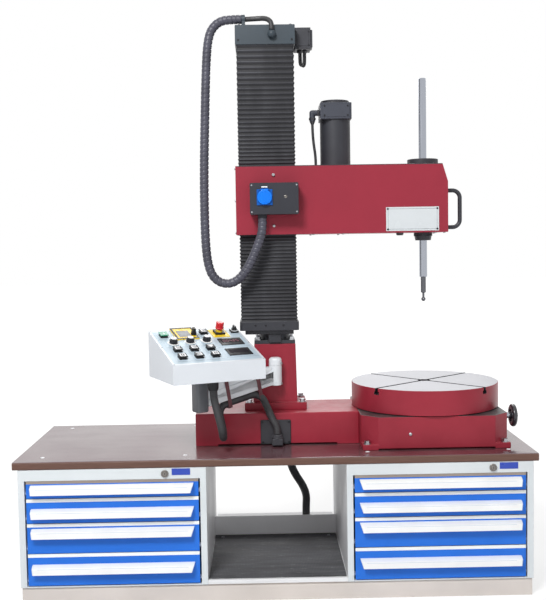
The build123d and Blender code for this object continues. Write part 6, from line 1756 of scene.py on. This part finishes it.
class GRINDER_OT_stage(Operator):
    """Set the floor, the light and the camera"""

    bl_idname = "grinder.stage"
    bl_label = "Stage"

    def execute(self, context):
        self.lay_floor()
        self.light(context.scene)
        self.point_camera(context.scene)
        return {"FINISHED"}

    def lay_floor(self):
        """A wide pale floor that stays near white to the camera and keeps the shadow."""
        half = 30
        near, far, dim, bright, glow_share = 1.6, 5.0, 1.3, 1.9, 0.5
        corners = [(-half, -half, 0), (half, -half, 0), (half, half, 0), (-half, half, 0)]
        mesh = bpy.data.meshes.new("floor")
        mesh.from_pydata(corners, [], [(0, 1, 2, 3)])
        floor = shown("floor", mesh)
        tree, shader = blank("pale_floor")
        base = mixed(tree, mottled(tree, 2.0), (0.86, 0.86, 0.86), (0.9, 0.9, 0.9))
        tree.links.new(base, shader.inputs["Base Color"])
        plain(shader, {"Roughness": 0.9, "Specular IOR Level": 0.0})
        away = vectors(tree, "LENGTH", own_place(tree))
        strength = ranged(tree, away, near, far, dim, bright)
        glow = put(tree, "ShaderNodeEmission", {"Color": (1, 1, 1, 1), "Strength": strength}).outputs[0]
        share = times(tree, seen_ray(tree), glow_share)
        both = put(tree, "ShaderNodeMixShader", (share, shader.outputs[0], glow)).outputs[0]
        tree.links.new(both, tree.nodes["Material Output"].inputs["Surface"])
        mesh.materials.append(coat("pale_floor"))

    def light(self, scene):
        """Soft light from the upper left, the right and behind, under a white sky."""
        world = bpy.data.worlds.new("studio")
        scene.world = world
        world.use_nodes = True
        tree = world.node_tree
        tree.nodes.clear()
        sky_light, sky_white = 0.36, 1.0
        values = {"Value": seen_ray(tree), "To Min": sky_light, "To Max": sky_white}
        level = put(tree, "ShaderNodeMapRange", values).outputs[0]
        sky = put(tree, "ShaderNodeBackground", {"Color": (1, 1, 1, 1), "Strength": level}).outputs[0]
        tree.links.new(sky, put(tree, "ShaderNodeOutputWorld").inputs["Surface"])
        aim = Vector((0, 0, 1.0))

        # Each lamp's name, place, size, power and whether surfaces mirror it
        lamps = (("key", (-1.3, -3.5, 4.3), 1.2, 188.0, True), ("fill", (2.7, -4.7, 0.9), 3.0, 29.0, False),
                 ("back", (0.5, 3.4, 3.6), 2.6, 80.0, True))
        for name, place, size, power, mirrored in lamps:
            lamp = bpy.data.lights.new(name, "AREA")
            lamp.size = size
            lamp.energy = power
            obj = shown(name, lamp)
            obj.location = place
            obj.visible_glossy = mirrored
            obj.rotation_euler = (aim - Vector(place)).to_track_quat("-Z", "Y").to_euler()

    def point_camera(self, scene):
        """The photograph's view, for an image of 546 by 600."""
        yaw, pitch, roll = (math.radians(angle) for angle in (0.691, 3.377, 0.917))
        focal_pixels, image_tall, sensor = 940, 600, 36.0
        place = mm(-45.1, -3838.0, 1359.2)
        ahead = Vector((math.sin(yaw) * math.cos(pitch), math.cos(yaw) * math.cos(pitch), -math.sin(pitch)))
        right = Vector((math.cos(yaw), -math.sin(yaw), 0))
        down = ahead.cross(right)
        across = right * math.cos(roll) + down * math.sin(roll)
        below = down * math.cos(roll) - right * math.sin(roll)
        camera = bpy.data.cameras.new("camera")
        camera.sensor_width = sensor
        camera.lens = focal_pixels / image_tall * sensor
        camera.clip_end = 100.0
        obj = shown("camera", camera)
        turn = Matrix((across, -below, -ahead)).transposed().to_4x4()
        turn.translation = place
        obj.matrix_world = turn
        scene.camera = obj


class GRINDER_PT_sidebar(Panel):
    """Lists the steps that dress the machine"""

    bl_label = "Tool grinding machine"
    bl_space_type = "VIEW_3D"
    bl_region_type = "UI"
    bl_category = "Grinder"

    def draw(self, context):
        for operator in OPERATORS:
            self.layout.operator(operator.bl_idname)
        for group in (context.scene.grinder_colours, context.scene.grinder_sizes):
            box = self.layout.box()
            for name in type(group).__annotations__:
                box.prop(group, name)


OPERATORS = (
    GRINDER_OT_finishes, GRINDER_OT_castings, GRINDER_OT_cabinets, GRINDER_OT_column, GRINDER_OT_arm,
    GRINDER_OT_console, GRINDER_OT_hoses, GRINDER_OT_screws, GRINDER_OT_stage)
CLASSES = (GrinderColours, GrinderSizes, *OPERATORS, GRINDER_PT_sidebar)


def register():
    """Registers the classes and the two groups of settings."""
    for cls in CLASSES:
        bpy.utils.register_class(cls)
    bpy.types.Scene.grinder_colours = PointerProperty(type=GrinderColours)
    bpy.types.Scene.grinder_sizes = PointerProperty(type=GrinderSizes)


def unregister():
    """Takes the settings and the classes out again."""
    del bpy.types.Scene.grinder_sizes
    del bpy.types.Scene.grinder_colours
    for cls in reversed(CLASSES):
        bpy.utils.unregister_class(cls)


def main():
    """Dresses the machine step by step."""
    register()
    scene = bpy.context.scene
    scene.view_settings.view_transform = "Standard"
    bpy.ops.grinder.finishes()
    bpy.ops.grinder.castings()
    bpy.ops.grinder.cabinets()
    bpy.ops.grinder.column()
    bpy.ops.grinder.arm()
    bpy.ops.grinder.console()
    bpy.ops.grinder.hoses()
    bpy.ops.grinder.screws()
    bpy.ops.grinder.stage()


if __name__ == "__main__":
    main()
